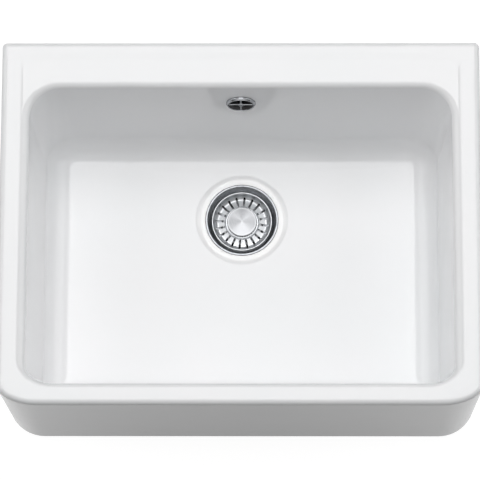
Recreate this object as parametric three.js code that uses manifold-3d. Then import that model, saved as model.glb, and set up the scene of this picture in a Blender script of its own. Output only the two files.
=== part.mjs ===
// Farmhouse sink with an apron front: a glazed fireclay basin, its basket strainer waste and its overflow.
// Millimetres, +Z up. The origin is the centre of the basin's flat underside; -Y is the apron, +Y the wall.
import * as THREE from 'three';
import { mergeVertices } from 'three/addons/utils/BufferGeometryUtils.js';
import Module from 'manifold-3d';

const wasm = await Module();
wasm.setup();

// ---------------------------------------------------------------- driving sizes
// Basin, outside
const sinkWidth = 595;
const sinkDepth = 460;
const sinkHeight = 220;
const frontCornerWidth = 52;
const frontCornerDepth = 27;
const frontCornerRadiusLow = 46;
const rearCornerRadius = 6;
const topEdgeRadius = 7;
const bottomEdgeRadius = 6;

// Rim and rear ledge: a crown runs along the rear, and the ledge lies a little below it
const crownWidthRear = 12;
const crownFallRear = 12;
const crownHeight = 1.2;

// Bowl
const sideRim = 35;
const frontRim = 28;
const rearLedge = 58.4;
const rimRoundingSide = 16;
const rimRoundingFront = 7;
const bowlEdgeRadius = 8.4;
const ledgeTrace = 0.5;
const rearBowlCorner = 38;
const frontBowlCornerWidth = 34;
const frontBowlCornerDepth = 24;
const sideDraft = 0.067;
const frontDraft = 0.08;
const rearDraft = 0.125;
const floorFilletRise = 30;
const floorFilletSide = 34.5;
const floorFilletFront = 31;
const floorFilletRear = 26;
const floorCornerRadius = 8;
const floorHeight = 24.4;
const floorFall = 1.2;

// Waste recess and outlet hole
const wasteFromRear = 179;
const recessRadius = 59.5;
const recessEdgeWidth = 6.5;
const outletSeatHeight = 19.5;
const outletHoleRadius = 42;
const countersinkRadius = 46;
const countersinkDepth = 4;
const undersideRecessRadius = 49.8;
const undersideRecessDepth = 4;
const undersideRecessTaper = 1;

// Rear pocket under the ledge, where the overflow fittings stand
const rearWall = 25;
const ledgeThickness = 25;
const pocketSideWall = 47.5;
const pocketCornerRadius = 14;

// Strainer cup
const sealThickness = 0.8;
const sheet = 1;
const lipRadius = 47;
const lipWidth = 2.3;
const coneDepth = 6.7;
const cupRadius = 39.2;
const cupDepth = 38.3;
const cupCornerRadius = 4;
const drainHoleCount = 8;
const drainHoleRadius = 4.6;
const drainHolePitchRadius = 18.5;

// Basket and knob
const rimClearance = 0.4;
const basketSheet = 0.9;
const basketRimRoll = 1.1;
const basketDishRadius = 34.9;
const basketDishDepth = 10.8;
const slotCount = 20;
const slotWidth = 2.6;
const slotInnerRadius = 22.3;
const slotOuterRadius = 33.9;
const slotTurn = 5.5;
const slotRingRise = 2.8;
const plateauRadius = 20.9;
const plateauRise = 1.3;
const knobRadius = 19.4;
const knobThickness = 4;
const knobGap = 1.7;
const knobBossRadius = 8;
const knobDome = 0.5;
const knobEdge = 0.8;

// Stopper on its stem
const stemRadius = 3;
const stemClearance = 0.3;
const stopperRadius = 27;
const stopperBore = 12;
const stopperPlateThickness = 1.5;
const stopperPlateLift = 5.2;
const seatGap = 0.3;
const circlipThickness = 0.6;
const circlipWidth = 2;
const circlipGap = 2.4;
const stemCollarRadius = 7;
const stemCollarHeight = 1.5;
const clipLength = 10;
const clipWall = 1.1;
const clipSlit = 1;
const clipSlitLength = 7;
const stemTipHeight = 2;

// Clamp bolt
const boltRadius = 5;
const boltBoreRadius = 3.9;
const boltHeadRadius = 9;
const boltHeadHeight = 3;
const boltHeadEdge = 0.5;
const boltWasherThickness = 1;
const boltLength = 32;

// Waste body
const bodyFlangeRadius = 48.5;
const bodyFlangeThickness = 4;
const lowerGasketThickness = 2.5;
const bodyWall = 3;
const bodyRadius = 44;
const bodyStraight = 34;
const bodyWaistRadius = 40.5;
const bodyWaistDepth = 66;
const funnelKneeRadius = 34;
const funnelKneeDepth = 76;
const tailRadius = 23.9;
const tailTopDepth = 84;
const tailEndDepth = 120;
const spiderCount = 3;
const spiderWeb = 2.6;
const spiderDepth = 22;
const spiderWebDepth = 15.4;
const spiderBossRadius = 8.5;
const spiderDrop = 1.8;

// Overflow
const overflowBelowTop = 52;
const overflowBoreRadius = 14;
const rosetteRadius = 19;
const rosetteOpening = 12.8;
const rosetteHeight = 4.4;
const rosetteEdgeRadius = 3;
const rosetteSleeve = 8;
const rosetteSleeveWall = 0.9;
const crossWidth = 2.4;
const crossHeight = 2.6;
const crossSetback = 1;
const hubRadius = 4.2;
const overflowScrewRadius = 2.2;
const overflowScrewHead = 3.4;
const overflowScrewHeadHeight = 1.6;
const overflowGasketThickness = 2;
const elbowFlangeRadius = 21;
const elbowFlangeThickness = 3;
const elbowRadius = 17.5;
const elbowDepth = 25.5;
const elbowWall = 2.6;
const elbowEdge = 3.9;
const elbowCollarDrop = 33;
const insertRadius = 5;
const insertSetback = 9;

// Ribbed hose and its nuts
const hoseRadius = 10;
const ribDepth = 1.4;
const ribPitch = 3.6;
const hoseBore = 7.3;
const hoseCuff = 12;
const hoseStandOff = 15.5;
const hoseBend = 65;
const inletDepth = 58;
const inletReach = 55.5;
const collarRadius = 11;
const hoseWasherThickness = 1.8;
const nutRadius = 14;
const nutLength = 16;
const nutLap = 7;
const nutRibCount = 12;
const nutRibDepth = 0.8;
const fitClearance = 0.3;

// Fineness of the facets
const sideStepsRear = 2;
const sideStepsFront = 4;
const halfWidthSteps = 3;
const cornerSteps = 6;
const edgeSteps = 4;
const filletSteps = 5;
const waveShares = [0, 0.35, 0.65, 1];
const turnSteps = 32;
const fineTurnSteps = 40;
const smallTurnSteps = 16;
const holeSteps = 12;
const hoseSides = 8;
const ribsPerBoreRing = 5;
const cutOver = 1;

// ---------------------------------------------------------------- derived places
const wasteY = sinkDepth / 2 - wasteFromRear;
const ledgeHeight = sinkHeight - crownHeight;
const wallTop = ledgeHeight - bowlEdgeRadius;
const recessEdgeHeight = floorHeight - floorFall;
const lipTop = outletSeatHeight + sealThickness + sheet;
const cupFloor = lipTop - cupDepth;
const coneSlope = (lipRadius - lipWidth - cupRadius) / coneDepth;
const draftAngle = Math.atan(rearDraft);
const overflowHeight = sinkHeight - overflowBelowTop;
const rearWallTopY = sinkDepth / 2 - rearLedge;
const overflowY = rearWallTopY - rearDraft * (wallTop - overflowHeight);

// ---------------------------------------------------------------- materials
const finish = (color, roughness, metalness) => ({ color, roughness, metalness });
const glazedFireclay = finish(0xf4f4f3, 0.12, 0);
const polishedSteel = finish(0xc9ccd0, 0.18, 1);
const brushedSteel = finish(0xc4c6c8, 0.34, 1);
const chrome = finish(0xd8dadc, 0.08, 1);
const brass = finish(0xb9a05a, 0.3, 1);
const whitePlastic = finish(0xe6e6e2, 0.45, 0);
const greyPlastic = finish(0x9a9da0, 0.5, 0);
const blackRubber = finish(0x1d1d1e, 0.8, 0);

// ---------------------------------------------------------------- helpers
/** A closed indexed geometry of position alone, with its faces turned outwards. */
function closed(positions, indices) {
  const corner = i => new THREE.Vector3().fromArray(positions, 3 * i);
  let volume = 0;
  for (let i = 0; i < indices.length; i += 3) {
    const [a, b, c] = [corner(indices[i]), corner(indices[i + 1]), corner(indices[i + 2])];
    volume += a.dot(b.cross(c));
  }
  const turnedOut = volume > 0 ? indices : [...indices].reverse();
  const geometry = new THREE.BufferGeometry();
  geometry.setAttribute('position', new THREE.Float32BufferAttribute(positions, 3));
  geometry.setIndex(turnedOut);
  return geometry;
}

/** A geometry with its doubled vertices merged and only its positions left. */
function bare(geometry) {
  const copy = geometry.clone();
  copy.deleteAttribute('normal');
  copy.deleteAttribute('uv');
  const merged = mergeVertices(copy, 1e-4);
  return closed([...merged.attributes.position.array], [...merged.index.array]);
}

function toSolid(geometry) {
  const merged = bare(geometry);
  const vertProperties = new Float32Array(merged.attributes.position.array);
  const triVerts = new Uint32Array(merged.index.array);
  return new wasm.Manifold(new wasm.Mesh({ numProp: 3, vertProperties, triVerts }));
}

function toGeometry(solid) {
  const { vertProperties, triVerts } = solid.getMesh();
  return closed([...vertProperties], [...triVerts]);
}

/** The first geometry with all the others joined on. */
function join(first, ...others) {
  return toGeometry(others.reduce((sum, other) => sum.add(toSolid(other)), toSolid(first)));
}

/** The first geometry with all the others cut away. */
function cut(first, ...others) {
  return toGeometry(others.reduce((rest, other) => rest.subtract(toSolid(other)), toSolid(first)));
}

/** Points [r, z] on an arc round [centreR, centreZ], angles in degrees from the +r direction. */
function arc(centreR, centreZ, radius, from, to, steps) {
  return Array.from({ length: steps + 1 }, (_, i) => {
    const angle = THREE.MathUtils.degToRad(from + (to - from) * i / steps);
    return [centreR + radius * Math.cos(angle), centreZ + radius * Math.sin(angle)];
  });
}

/** A closed [r, z] profile turned about the Z axis. */
function turned(profile, steps = turnSteps) {
  const loop = [...profile, profile[0]].map(([r, z]) => new THREE.Vector2(r, z));
  return bare(new THREE.LatheGeometry(loop, steps).rotateX(Math.PI / 2));
}

/** A solid [r, z] profile that starts and ends on the Z axis. */
function turnedSolid(profile, steps = turnSteps) {
  const points = profile.map(([r, z]) => new THREE.Vector2(r, z));
  return bare(new THREE.LatheGeometry(points, steps).rotateX(Math.PI / 2));
}

const rod = (radius, low, high, steps = turnSteps) =>
  turnedSolid([[0, low], [radius, low], [radius, high], [0, high]], steps);

const tube = (inner, outer, low, high, steps = turnSteps) =>
  turned([[inner, low], [outer, low], [outer, high], [inner, high]], steps);

function block(width, depth, height, x, y, z) {
  return new THREE.BoxGeometry(width, depth, height).translate(x, y, z);
}

/** Lays a piece that was turned about Z along +Y instead: its height becomes its depth. */
const alongY = geometry => geometry.rotateX(-Math.PI / 2);

/** Copies of a piece spaced evenly round the Z axis. */
function aroundZ(geometry, count, firstAngle = 0) {
  return Array.from({ length: count }, (_, i) =>
    geometry.clone().rotateZ(firstAngle + 2 * Math.PI * i / count));
}

/** Skins a closed loop of rings that all have the same number of points. */
function loftLoop(rings) {
  const count = rings[0].length;
  const positions = rings.flat().flatMap(point => point.toArray());
  const indices = [];
  rings.forEach((_, row) => {
    const next = (row + 1) % rings.length;
    for (let i = 0; i < count; i++) {
      const j = (i + 1) % count;
      const [a, b, c, d] = [row * count + i, row * count + j, next * count + j, next * count + i];
      indices.push(a, b, c, a, c, d);
    }
  });
  return closed(positions, indices);
}

function piece(group, name, geometry, look) {
  const mesh = new THREE.Mesh(geometry, new THREE.MeshStandardMaterial(look));
  mesh.name = name;
  group.add(mesh);
  return mesh;
}

// ---------------------------------------------------------------- basin
/** A level ring of the basin, a given way in from the outer faces. It starts beside the waste. */
function levelRing({ side, front, rear, frontCorner, rearCorner, z }) {
  const right = sinkWidth / 2 - side;
  const back = sinkDepth / 2 - rear;
  const fore = front - sinkDepth / 2;
  const half = [];
  const run = (from, to, steps) => {
    for (let i = 0; i < steps; i++) half.push(from.clone().lerp(to, i / steps));
  };
  const corner = (x, y, wide, deep, start) => {
    for (let i = 0; i < cornerSteps; i++) {
      const angle = start + Math.PI / 2 * i / cornerSteps;
      half.push(new THREE.Vector3(x + wide * Math.cos(angle), y + deep * Math.sin(angle), z));
    }
  };
  const at = (x, y) => new THREE.Vector3(x, y, z);
  run(at(right, wasteY), at(right, back - rearCorner), sideStepsRear);
  corner(right - rearCorner, back - rearCorner, rearCorner, rearCorner, 0);
  run(at(right - rearCorner, back), at(0, back), halfWidthSteps);
  const rearRight = [...half];
  half.length = 0;
  const { width, depth } = frontCorner;
  run(at(0, fore), at(right - width, fore), halfWidthSteps);
  corner(right - width, fore + depth, width, depth, -Math.PI / 2);
  run(at(right, fore + depth), at(right, wasteY), sideStepsFront);
  const frontRight = [...half];
  const mirrored = (points, end) => [...points.slice(1), end].reverse()
    .map(({ x, y }) => new THREE.Vector3(-x, y, z));
  const rearLeft = mirrored(rearRight, at(0, back));
  const frontLeft = mirrored(frontRight, at(right, wasteY));
  return [...rearRight, ...rearLeft, ...frontLeft, ...frontRight];
}

/** A round ring about the waste, with its points paired to those of the level rings. */
function wasteRing(radius, z) {
  const rearQuarter = sideStepsRear + cornerSteps + halfWidthSteps;
  const frontQuarter = sideStepsFront + cornerSteps + halfWidthSteps;
  const quarters = [rearQuarter, rearQuarter, frontQuarter, frontQuarter];
  return quarters.flatMap((steps, quarter) => Array.from({ length: steps }, (_, i) => {
    const angle = Math.PI / 2 * (quarter + i / steps);
    return new THREE.Vector3(radius * Math.cos(angle), wasteY + radius * Math.sin(angle), z);
  }));
}

/** The outer faces are upright, but the apron's corners are a quarter ellipse above and round below. */
function outerRings() {
  const mix = (low, high, z) => THREE.MathUtils.lerp(low, high, z / sinkHeight);
  const ring = (inset, z) => levelRing({
    side: inset, front: inset, rear: inset, z,
    frontCorner: {
      width: mix(frontCornerRadiusLow, frontCornerWidth, z) - inset,
      depth: mix(frontCornerRadiusLow, frontCornerDepth, z) - inset,
    },
    rearCorner: Math.max(rearCornerRadius - inset, sheet),
  });
  const bottom = arc(bottomEdgeRadius, bottomEdgeRadius, bottomEdgeRadius, 270, 180, edgeSteps);
  const top = arc(topEdgeRadius, sinkHeight - topEdgeRadius, topEdgeRadius, 180, 90, edgeSteps);
  return [...bottom, ...top].map(([inset, z]) => ring(inset, z));
}

/** How far in the sides' and the apron's rim has reached at a height: it falls as a quarter ellipse. */
function rimInset(wall, rounding, z) {
  const fall = (sinkHeight - Math.max(z, wallTop)) / (sinkHeight - wallTop);
  return wall - rounding * (1 - Math.sqrt(1 - (1 - fall) ** 2));
}

/** The crown falls from the rear edge to the ledge along half a cosine wave. */
function crownRings() {
  return waveShares.map(share => {
    const z = sinkHeight - crownHeight * (1 - Math.cos(Math.PI * share)) / 2;
    const side = rimInset(sideRim, rimRoundingSide, z) - ledgeTrace;
    const front = rimInset(frontRim, rimRoundingFront, z) - ledgeTrace;
    return levelRing({
      side, front, z,
      rear: crownWidthRear + crownFallRear * share,
      frontCorner: {
        width: frontBowlCornerWidth + sideRim - side,
        depth: frontBowlCornerDepth + frontRim - front,
      },
      rearCorner: rearCornerRadius + crownFallRear * share,
    });
  });
}

/** One ring of the bowl, a share of the fillets' reach in from its walls, or of the edge's out. */
function bowlRing({ edge = 0, fillet = 0, z }) {
  const depth = Math.max(wallTop - z, 0);
  const wide = floorFilletSide * fillet;
  return levelRing({
    side: rimInset(sideRim, rimRoundingSide, z) + sideDraft * depth + wide,
    front: rimInset(frontRim, rimRoundingFront, z) + frontDraft * depth + floorFilletFront * fillet,
    rear: rearLedge + rearDraft * depth - bowlEdgeRadius * edge + floorFilletRear * fillet,
    z,
    frontCorner: {
      width: Math.max(frontBowlCornerWidth + bowlEdgeRadius * edge - wide, floorCornerRadius),
      depth: Math.max(frontBowlCornerDepth + bowlEdgeRadius * edge - wide, floorCornerRadius),
    },
    rearCorner: Math.max(rearBowlCorner + bowlEdgeRadius * edge - wide, floorCornerRadius),
  });
}

function bowlRings() {
  const edge = arc(1, 0, 1, 90, 180, edgeSteps)
    .map(([share, rise]) => bowlRing({ edge: share, z: wallTop + bowlEdgeRadius * rise }));
  const fillet = arc(1, 1, 1, 180, 270, filletSteps)
    .map(([share, rise]) => bowlRing({ fillet: share, z: floorHeight + floorFilletRise * rise }));
  return [...edge, ...fillet];
}

function recessRings() {
  const depth = recessEdgeHeight - outletSeatHeight;
  const edge = waveShares.map(share => wasteRing(
    recessRadius - recessEdgeWidth * share,
    recessEdgeHeight - depth * (1 - Math.cos(Math.PI * share)) / 2));
  return [
    ...edge,
    wasteRing(countersinkRadius, outletSeatHeight),
    wasteRing(outletHoleRadius, outletSeatHeight - countersinkDepth),
  ];
}

function undersideRings() {
  return [
    wasteRing(outletHoleRadius, undersideRecessDepth),
    wasteRing(undersideRecessRadius - undersideRecessTaper, undersideRecessDepth),
    wasteRing(undersideRecessRadius, 0),
  ];
}

function rearPocket() {
  const half = sinkWidth / 2 - pocketSideWall;
  const top = sinkHeight - ledgeThickness - overflowHeight;
  const low = -overflowHeight - sinkHeight;
  const outline = new THREE.Shape();
  outline.moveTo(-half, low);
  outline.lineTo(half, low);
  outline.lineTo(half, top - pocketCornerRadius);
  outline.absarc(half - pocketCornerRadius, top - pocketCornerRadius, pocketCornerRadius, 0, Math.PI / 2);
  outline.absarc(pocketCornerRadius - half, top - pocketCornerRadius, pocketCornerRadius,
    Math.PI / 2, Math.PI);
  outline.closePath();
  const cutter = new THREE.ExtrudeGeometry(outline, {
    depth: rearLedge * 2, bevelEnabled: false, curveSegments: edgeSteps,
  });
  const alongRearWall = new THREE.Matrix4().makeShear(0, 0, 0, 0, 0, rearDraft);
  return cutter.rotateX(Math.PI / 2).translate(0, rearWall / Math.cos(draftAngle) + rearLedge * 2, 0)
    .applyMatrix4(alongRearWall).translate(0, overflowY, overflowHeight);
}

function basinGeometry() {
  const shell = loftLoop([
    ...undersideRings(), ...outerRings(), ...crownRings(), ...bowlRings(), ...recessRings(),
  ]);
  const bore = alongY(rod(overflowBoreRadius, -rearWall, rearWall * 2))
    .rotateX(-draftAngle).translate(0, overflowY, overflowHeight);
  return cut(shell, rearPocket(), bore);
}

// ---------------------------------------------------------------- waste, about its own upright axis
function strainerCupGeometry() {
  const lipInner = lipRadius - lipWidth;
  const coneLow = lipTop - coneDepth;
  const lipUnder = lipTop - sheet;
  const outerRadius = cupRadius + sheet;
  const cupProfile = [
    [lipRadius, lipUnder], [lipRadius, lipTop - sheet / 2], [lipRadius - sheet / 2, lipTop],
    [lipInner + sheet / 2, lipTop], [lipInner, lipTop - sheet / 4],
    [cupRadius, coneLow],
    ...arc(cupRadius - cupCornerRadius, cupFloor + cupCornerRadius, cupCornerRadius, 0, -90, 3),
    [boltRadius + fitClearance, cupFloor],
    [boltRadius + fitClearance, cupFloor - sheet],
    ...arc(cupRadius - cupCornerRadius, cupFloor + cupCornerRadius, cupCornerRadius + sheet, -90, 0, 3),
    [outerRadius, coneLow - sheet * coneSlope / 2],
    [outerRadius + (lipUnder - coneLow) * coneSlope, lipUnder],
  ];
  const hole = rod(drainHoleRadius, cupFloor - sheet - cutOver, cupFloor + cutOver, holeSteps)
    .translate(drainHolePitchRadius, 0, 0);
  return cut(turned(cupProfile, fineTurnSteps), ...aroundZ(hole, drainHoleCount));
}

function cupSealGeometry() {
  const top = outletSeatHeight + sealThickness;
  const coneOuter = cupRadius + sheet + (coneDepth - sheet) * coneSlope;
  return turned([
    [lipRadius - fitClearance, outletSeatHeight], [lipRadius - fitClearance, top],
    [coneOuter + fitClearance, top],
    [countersinkRadius - fitClearance * 3, outletSeatHeight - fitClearance],
    [countersinkRadius - fitClearance, outletSeatHeight],
  ]);
}

function lowerGasketGeometry() {
  return tube(outletHoleRadius + cutOver, bodyFlangeRadius - fitClearance,
    undersideRecessDepth - lowerGasketThickness, undersideRecessDepth);
}

function wasteBodyGeometry() {
  const top = undersideRecessDepth - lowerGasketThickness;
  const flangeUnder = top - bodyFlangeThickness;
  const bore = bodyRadius - bodyWall;
  const tailBore = tailRadius - bodyWall;
  const shell = turned([
    [bodyFlangeRadius, top], [bodyFlangeRadius, flangeUnder], [bodyRadius, flangeUnder],
    [bodyRadius, -bodyStraight], [bodyWaistRadius, -bodyWaistDepth],
    [funnelKneeRadius, -funnelKneeDepth], [tailRadius, -tailTopDepth],
    [tailRadius, -tailEndDepth + cutOver], [tailRadius - cutOver, -tailEndDepth], [tailBore, -tailEndDepth],
    [tailBore, -tailTopDepth + bodyWall],
    [funnelKneeRadius - bodyWall, -funnelKneeDepth + bodyWall / 2],
    [bodyWaistRadius - bodyWall, -bodyWaistDepth + bodyWall],
    [bore, -bodyStraight], [bore, top],
  ]);
  const bossTop = cupFloor - sheet - spiderDrop;
  const bossLow = bossTop - spiderDepth;
  const webReach = bore + bodyWall / 2;
  const web = block(webReach, spiderWeb, spiderWebDepth, webReach / 2, 0, bossLow + spiderWebDepth / 2);
  const boss = rod(spiderBossRadius, bossLow, bossTop, smallTurnSteps);
  const collarEnd = inletReach - hoseWasherThickness;
  const laid = (radius, from, to) =>
    alongY(rod(radius, from, to, smallTurnSteps)).translate(0, 0, -inletDepth);
  const collar = laid(collarRadius, bodyWaistRadius - bodyWall - cutOver, collarEnd);
  const inlet = laid(hoseBore, bodyWaistRadius / 2, collarEnd + cutOver);
  const boltHole = rod(boltRadius + fitClearance, bossLow - cutOver, bossTop + cutOver, smallTurnSteps);
  const hollow = turnedSolid([
    [0, -bodyStraight], [bore, -bodyStraight], [bodyWaistRadius - bodyWall, -bodyWaistDepth + bodyWall],
    [0, -bodyWaistDepth + bodyWall],
  ]);
  const shellWithInlet = cut(join(shell, cut(collar, hollow)), inlet);
  return cut(join(shellWithInlet, boss, ...aroundZ(web, spiderCount, Math.PI / 6)), boltHole);
}

function clampBoltGeometry() {
  const headLow = cupFloor + boltWasherThickness;
  const headTop = headLow + boltHeadHeight;
  const bolt = turned([
    [boltBoreRadius, headTop - boltHeadEdge], [boltBoreRadius + boltHeadEdge, headTop],
    [boltHeadRadius - boltHeadEdge, headTop], [boltHeadRadius, headTop - boltHeadEdge],
    [boltHeadRadius, headLow], [boltRadius, headLow],
    [boltRadius, headLow - boltLength], [boltBoreRadius, headLow - boltLength],
  ], smallTurnSteps);
  const driverSlot = block(boltHeadRadius * 3, boltHeadHeight / 2, boltHeadHeight, 0, 0, headTop);
  return cut(bolt, driverSlot);
}

function boltWasherGeometry() {
  return tube(boltRadius + fitClearance, boltHeadRadius + cutOver,
    cupFloor, cupFloor + boltWasherThickness, smallTurnSteps);
}

// ---------------------------------------------------------------- basket, knob and stopper
const basketRimTop = lipTop - coneDepth;
const basketRimRadius = cupRadius - rimClearance;
const slotRingLow = basketRimTop - basketDishDepth;
const slotRingHigh = slotRingLow + slotRingRise;
const plateauTop = slotRingHigh + plateauRise;
const stopperPlateTop = cupFloor + stopperPlateLift + stopperPlateThickness;
const clipTop = cupFloor - stemRadius - sheet;

function basketGeometry() {
  const roll = basketRimRoll;
  const outside = [
    [basketRimRadius, basketRimTop - roll], [basketRimRadius, basketRimTop - roll / 2],
    [basketRimRadius - roll / 2, basketRimTop], [basketRimRadius - roll * 1.5, basketRimTop],
    [basketRimRadius - roll * 2, basketRimTop - roll / 2],
    [basketDishRadius, slotRingLow + basketSheet * 1.5],
    [basketDishRadius - basketSheet, slotRingLow],
    [slotInnerRadius, slotRingHigh],
    [plateauRadius, plateauTop],
    [stemRadius + stemClearance, plateauTop],
  ];
  const inside = [
    [stemRadius + stemClearance, plateauTop - basketSheet],
    [plateauRadius - basketSheet / 3, plateauTop - basketSheet],
    [slotInnerRadius - basketSheet / 3, slotRingHigh - basketSheet],
    [basketDishRadius - basketSheet / 2, slotRingLow - basketSheet],
    [basketDishRadius + basketSheet, slotRingLow + basketSheet * 1.5],
    [basketRimRadius - roll, basketRimTop - roll],
  ];
  const slotShape = new THREE.Shape();
  slotShape.absarc(slotInnerRadius + slotWidth / 2, 0, slotWidth / 2, Math.PI / 2, 3 * Math.PI / 2);
  slotShape.absarc(slotOuterRadius - slotWidth / 2, 0, slotWidth / 2, -Math.PI / 2, Math.PI / 2);
  slotShape.closePath();
  const depth = basketDishDepth;
  const curveSegments = edgeSteps / 2;
  const slot = new THREE.ExtrudeGeometry(slotShape, { depth, bevelEnabled: false, curveSegments })
    .translate(0, 0, slotRingLow - depth / 2);
  const firstSlot = Math.PI / 2 - THREE.MathUtils.degToRad(slotTurn);
  return cut(turned([...outside, ...inside], fineTurnSteps), ...aroundZ(slot, slotCount, firstSlot));
}

function knobGeometry() {
  const low = plateauTop + knobGap;
  const top = low + knobThickness;
  const socketTop = top - knobEdge * 2;
  return turnedSolid([
    [0, top + knobDome], [knobRadius / 2, top + knobDome * 3 / 4], [knobRadius - knobEdge, top],
    [knobRadius, top - knobEdge], [knobRadius, low + knobEdge], [knobRadius - knobEdge, low],
    [knobBossRadius, low], [knobBossRadius, plateauTop],
    [stemRadius + stemClearance, plateauTop], [stemRadius + stemClearance, socketTop], [0, socketTop],
  ], fineTurnSteps);
}

function basketStemGeometry() {
  const top = plateauTop + knobGap + knobThickness / 2;
  const collarTop = plateauTop - basketSheet - seatGap;
  const tipHigh = clipTop - clipLength - seatGap;
  const core = boltBoreRadius - fitClearance * 2 - clipWall;
  const lowCollar = stopperPlateTop + seatGap;
  return turnedSolid([
    [0, top], [stemRadius, top], [stemRadius, collarTop],
    [stemCollarRadius, collarTop], [stemCollarRadius, collarTop - stemCollarHeight],
    [stemRadius, collarTop - stemCollarHeight], [stemRadius, lowCollar + stemCollarHeight],
    [stemRadius + circlipWidth, lowCollar + stemCollarHeight], [stemRadius + circlipWidth, lowCollar],
    [stemRadius, lowCollar], [stemRadius, clipTop + seatGap],
    [core, clipTop + seatGap], [core, tipHigh], [boltBoreRadius - fitClearance * 2, tipHigh],
    [core, tipHigh - stemTipHeight], [0, tipHigh - stemTipHeight],
  ], smallTurnSteps);
}

function stemClipGeometry() {
  const outer = boltBoreRadius - fitClearance;
  const sleeve = tube(outer - clipWall, outer, clipTop - clipLength, clipTop, smallTurnSteps);
  const slit = block(outer * 3, clipSlit, clipSlitLength * 2, 0, 0, clipTop - clipLength);
  return cut(sleeve, slit, slit.clone().rotateZ(Math.PI / 2));
}

function stopperPlateGeometry() {
  const low = cupFloor + stopperPlateLift;
  return turned([
    [stemRadius + stemClearance, low], [stopperRadius - cutOver, low],
    [stopperRadius - cutOver, stopperPlateTop - stopperPlateThickness / 2],
    [stopperRadius - cutOver * 2, stopperPlateTop], [stemRadius + stemClearance, stopperPlateTop],
  ]);
}

function stopperSealGeometry() {
  const low = cupFloor + seatGap;
  const high = cupFloor + stopperPlateLift;
  const lip = stopperPlateThickness;
  return turned([
    [stopperBore, low + lip], [stopperRadius - lip * 2, low + lip], [stopperRadius - lip, low],
    [stopperRadius, low], [stopperRadius, high], [stopperBore, high],
  ]);
}

function stemCirclipGeometry() {
  const high = cupFloor + stopperPlateLift - seatGap;
  const ring = tube(stemRadius + stemClearance, stemRadius + circlipWidth,
    high - circlipThickness, high, smallTurnSteps);
  const opening = block(stemRadius * 2, circlipGap, stopperPlateLift, stemRadius, 0, high);
  return cut(ring, opening);
}

// ---------------------------------------------------------------- overflow, about its own level axis
// Each piece is turned about Z and then laid along Y: 0 is the bowl's rear wall, + goes into it.
const elbowFront = rearWall + fitClearance + overflowGasketThickness;
const elbowAxis = rearWall + hoseStandOff;

function rosetteGeometry() {
  const back = -fitClearance;
  const front = -rosetteHeight;
  const sleeveRadius = rosetteOpening + rosetteSleeveWall;
  const ring = turned([
    [rosetteRadius, back], [sleeveRadius, back],
    [sleeveRadius, rosetteSleeve], [rosetteOpening, rosetteSleeve],
    [rosetteOpening, front + crossSetback / 2], [rosetteOpening + crossSetback, front],
    ...arc(rosetteRadius - rosetteEdgeRadius, front + rosetteEdgeRadius, rosetteEdgeRadius,
      -90, 0, edgeSteps),
  ]);
  const barMiddle = front + crossSetback + crossHeight / 2;
  const barLength = rosetteOpening * 2 + rosetteSleeveWall;
  const bar = block(barLength, crossWidth, crossHeight, 0, 0, barMiddle);
  const hub = rod(hubRadius, front + crossSetback / 2, front + crossSetback + crossHeight, smallTurnSteps);
  const headLow = front + crossSetback / 2 + overflowScrewHeadHeight;
  const screwHole = turnedSolid([
    [0, front - cutOver], [overflowScrewHead + fitClearance, front - cutOver],
    [overflowScrewHead + fitClearance, front + crossSetback / 2 + fitClearance],
    [overflowScrewRadius + fitClearance, headLow + fitClearance],
    [overflowScrewRadius + fitClearance, rosetteSleeve], [0, rosetteSleeve],
  ], smallTurnSteps);
  return alongY(cut(join(ring, bar, bar.clone().rotateZ(Math.PI / 2), hub), screwHole));
}

function overflowScrewGeometry() {
  const face = -rosetteHeight + crossSetback / 2;
  const tip = elbowFront + elbowDepth - elbowWall - fitClearance;
  const shaft = turnedSolid([
    [0, face], [overflowScrewHead, face], [overflowScrewRadius, face + overflowScrewHeadHeight],
    [overflowScrewRadius, tip - overflowScrewRadius / 2], [overflowScrewRadius / 2, tip], [0, tip],
  ], smallTurnSteps);
  const slotWidthInHead = overflowScrewRadius / 2;
  const driverSlot = block(overflowScrewHead * 3, slotWidthInHead, overflowScrewHeadHeight, 0, 0, face);
  return alongY(cut(shaft, driverSlot));
}

function overflowGasketGeometry() {
  return alongY(tube(overflowBoreRadius + cutOver, elbowFlangeRadius - cutOver / 2,
    rearWall + fitClearance, elbowFront));
}

function overflowElbowGeometry() {
  const back = elbowFront + elbowDepth;
  const inner = elbowRadius - elbowWall;
  const housing = turnedSolid([
    [0, elbowFront], [elbowFlangeRadius, elbowFront], [elbowFlangeRadius, elbowFront + elbowFlangeThickness],
    [elbowRadius, elbowFront + elbowFlangeThickness], [elbowRadius, back - elbowEdge],
    [elbowRadius - elbowEdge / 3, back - elbowEdge / 3], [elbowRadius - elbowEdge, back], [0, back],
  ]);
  const insertFront = elbowFront + insertSetback;
  const chamber = tube(insertRadius, inner, insertFront, back - elbowWall);
  const mouth = rod(inner, elbowFront - cutOver, insertFront);
  const screwHole = rod(overflowScrewRadius + fitClearance, elbowFront, back - elbowWall, smallTurnSteps);
  const down = (radius, high, low) => rod(radius, low, high, smallTurnSteps).translate(0, elbowAxis, 0);
  const collar = down(collarRadius, -inner, -elbowCollarDrop);
  const outlet = down(hoseBore, -insertRadius - cutOver, -elbowCollarDrop - cutOver);
  const body = join(alongY(housing), collar);
  return cut(body, alongY(chamber), alongY(mouth), alongY(screwHole), outlet);
}

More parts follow.
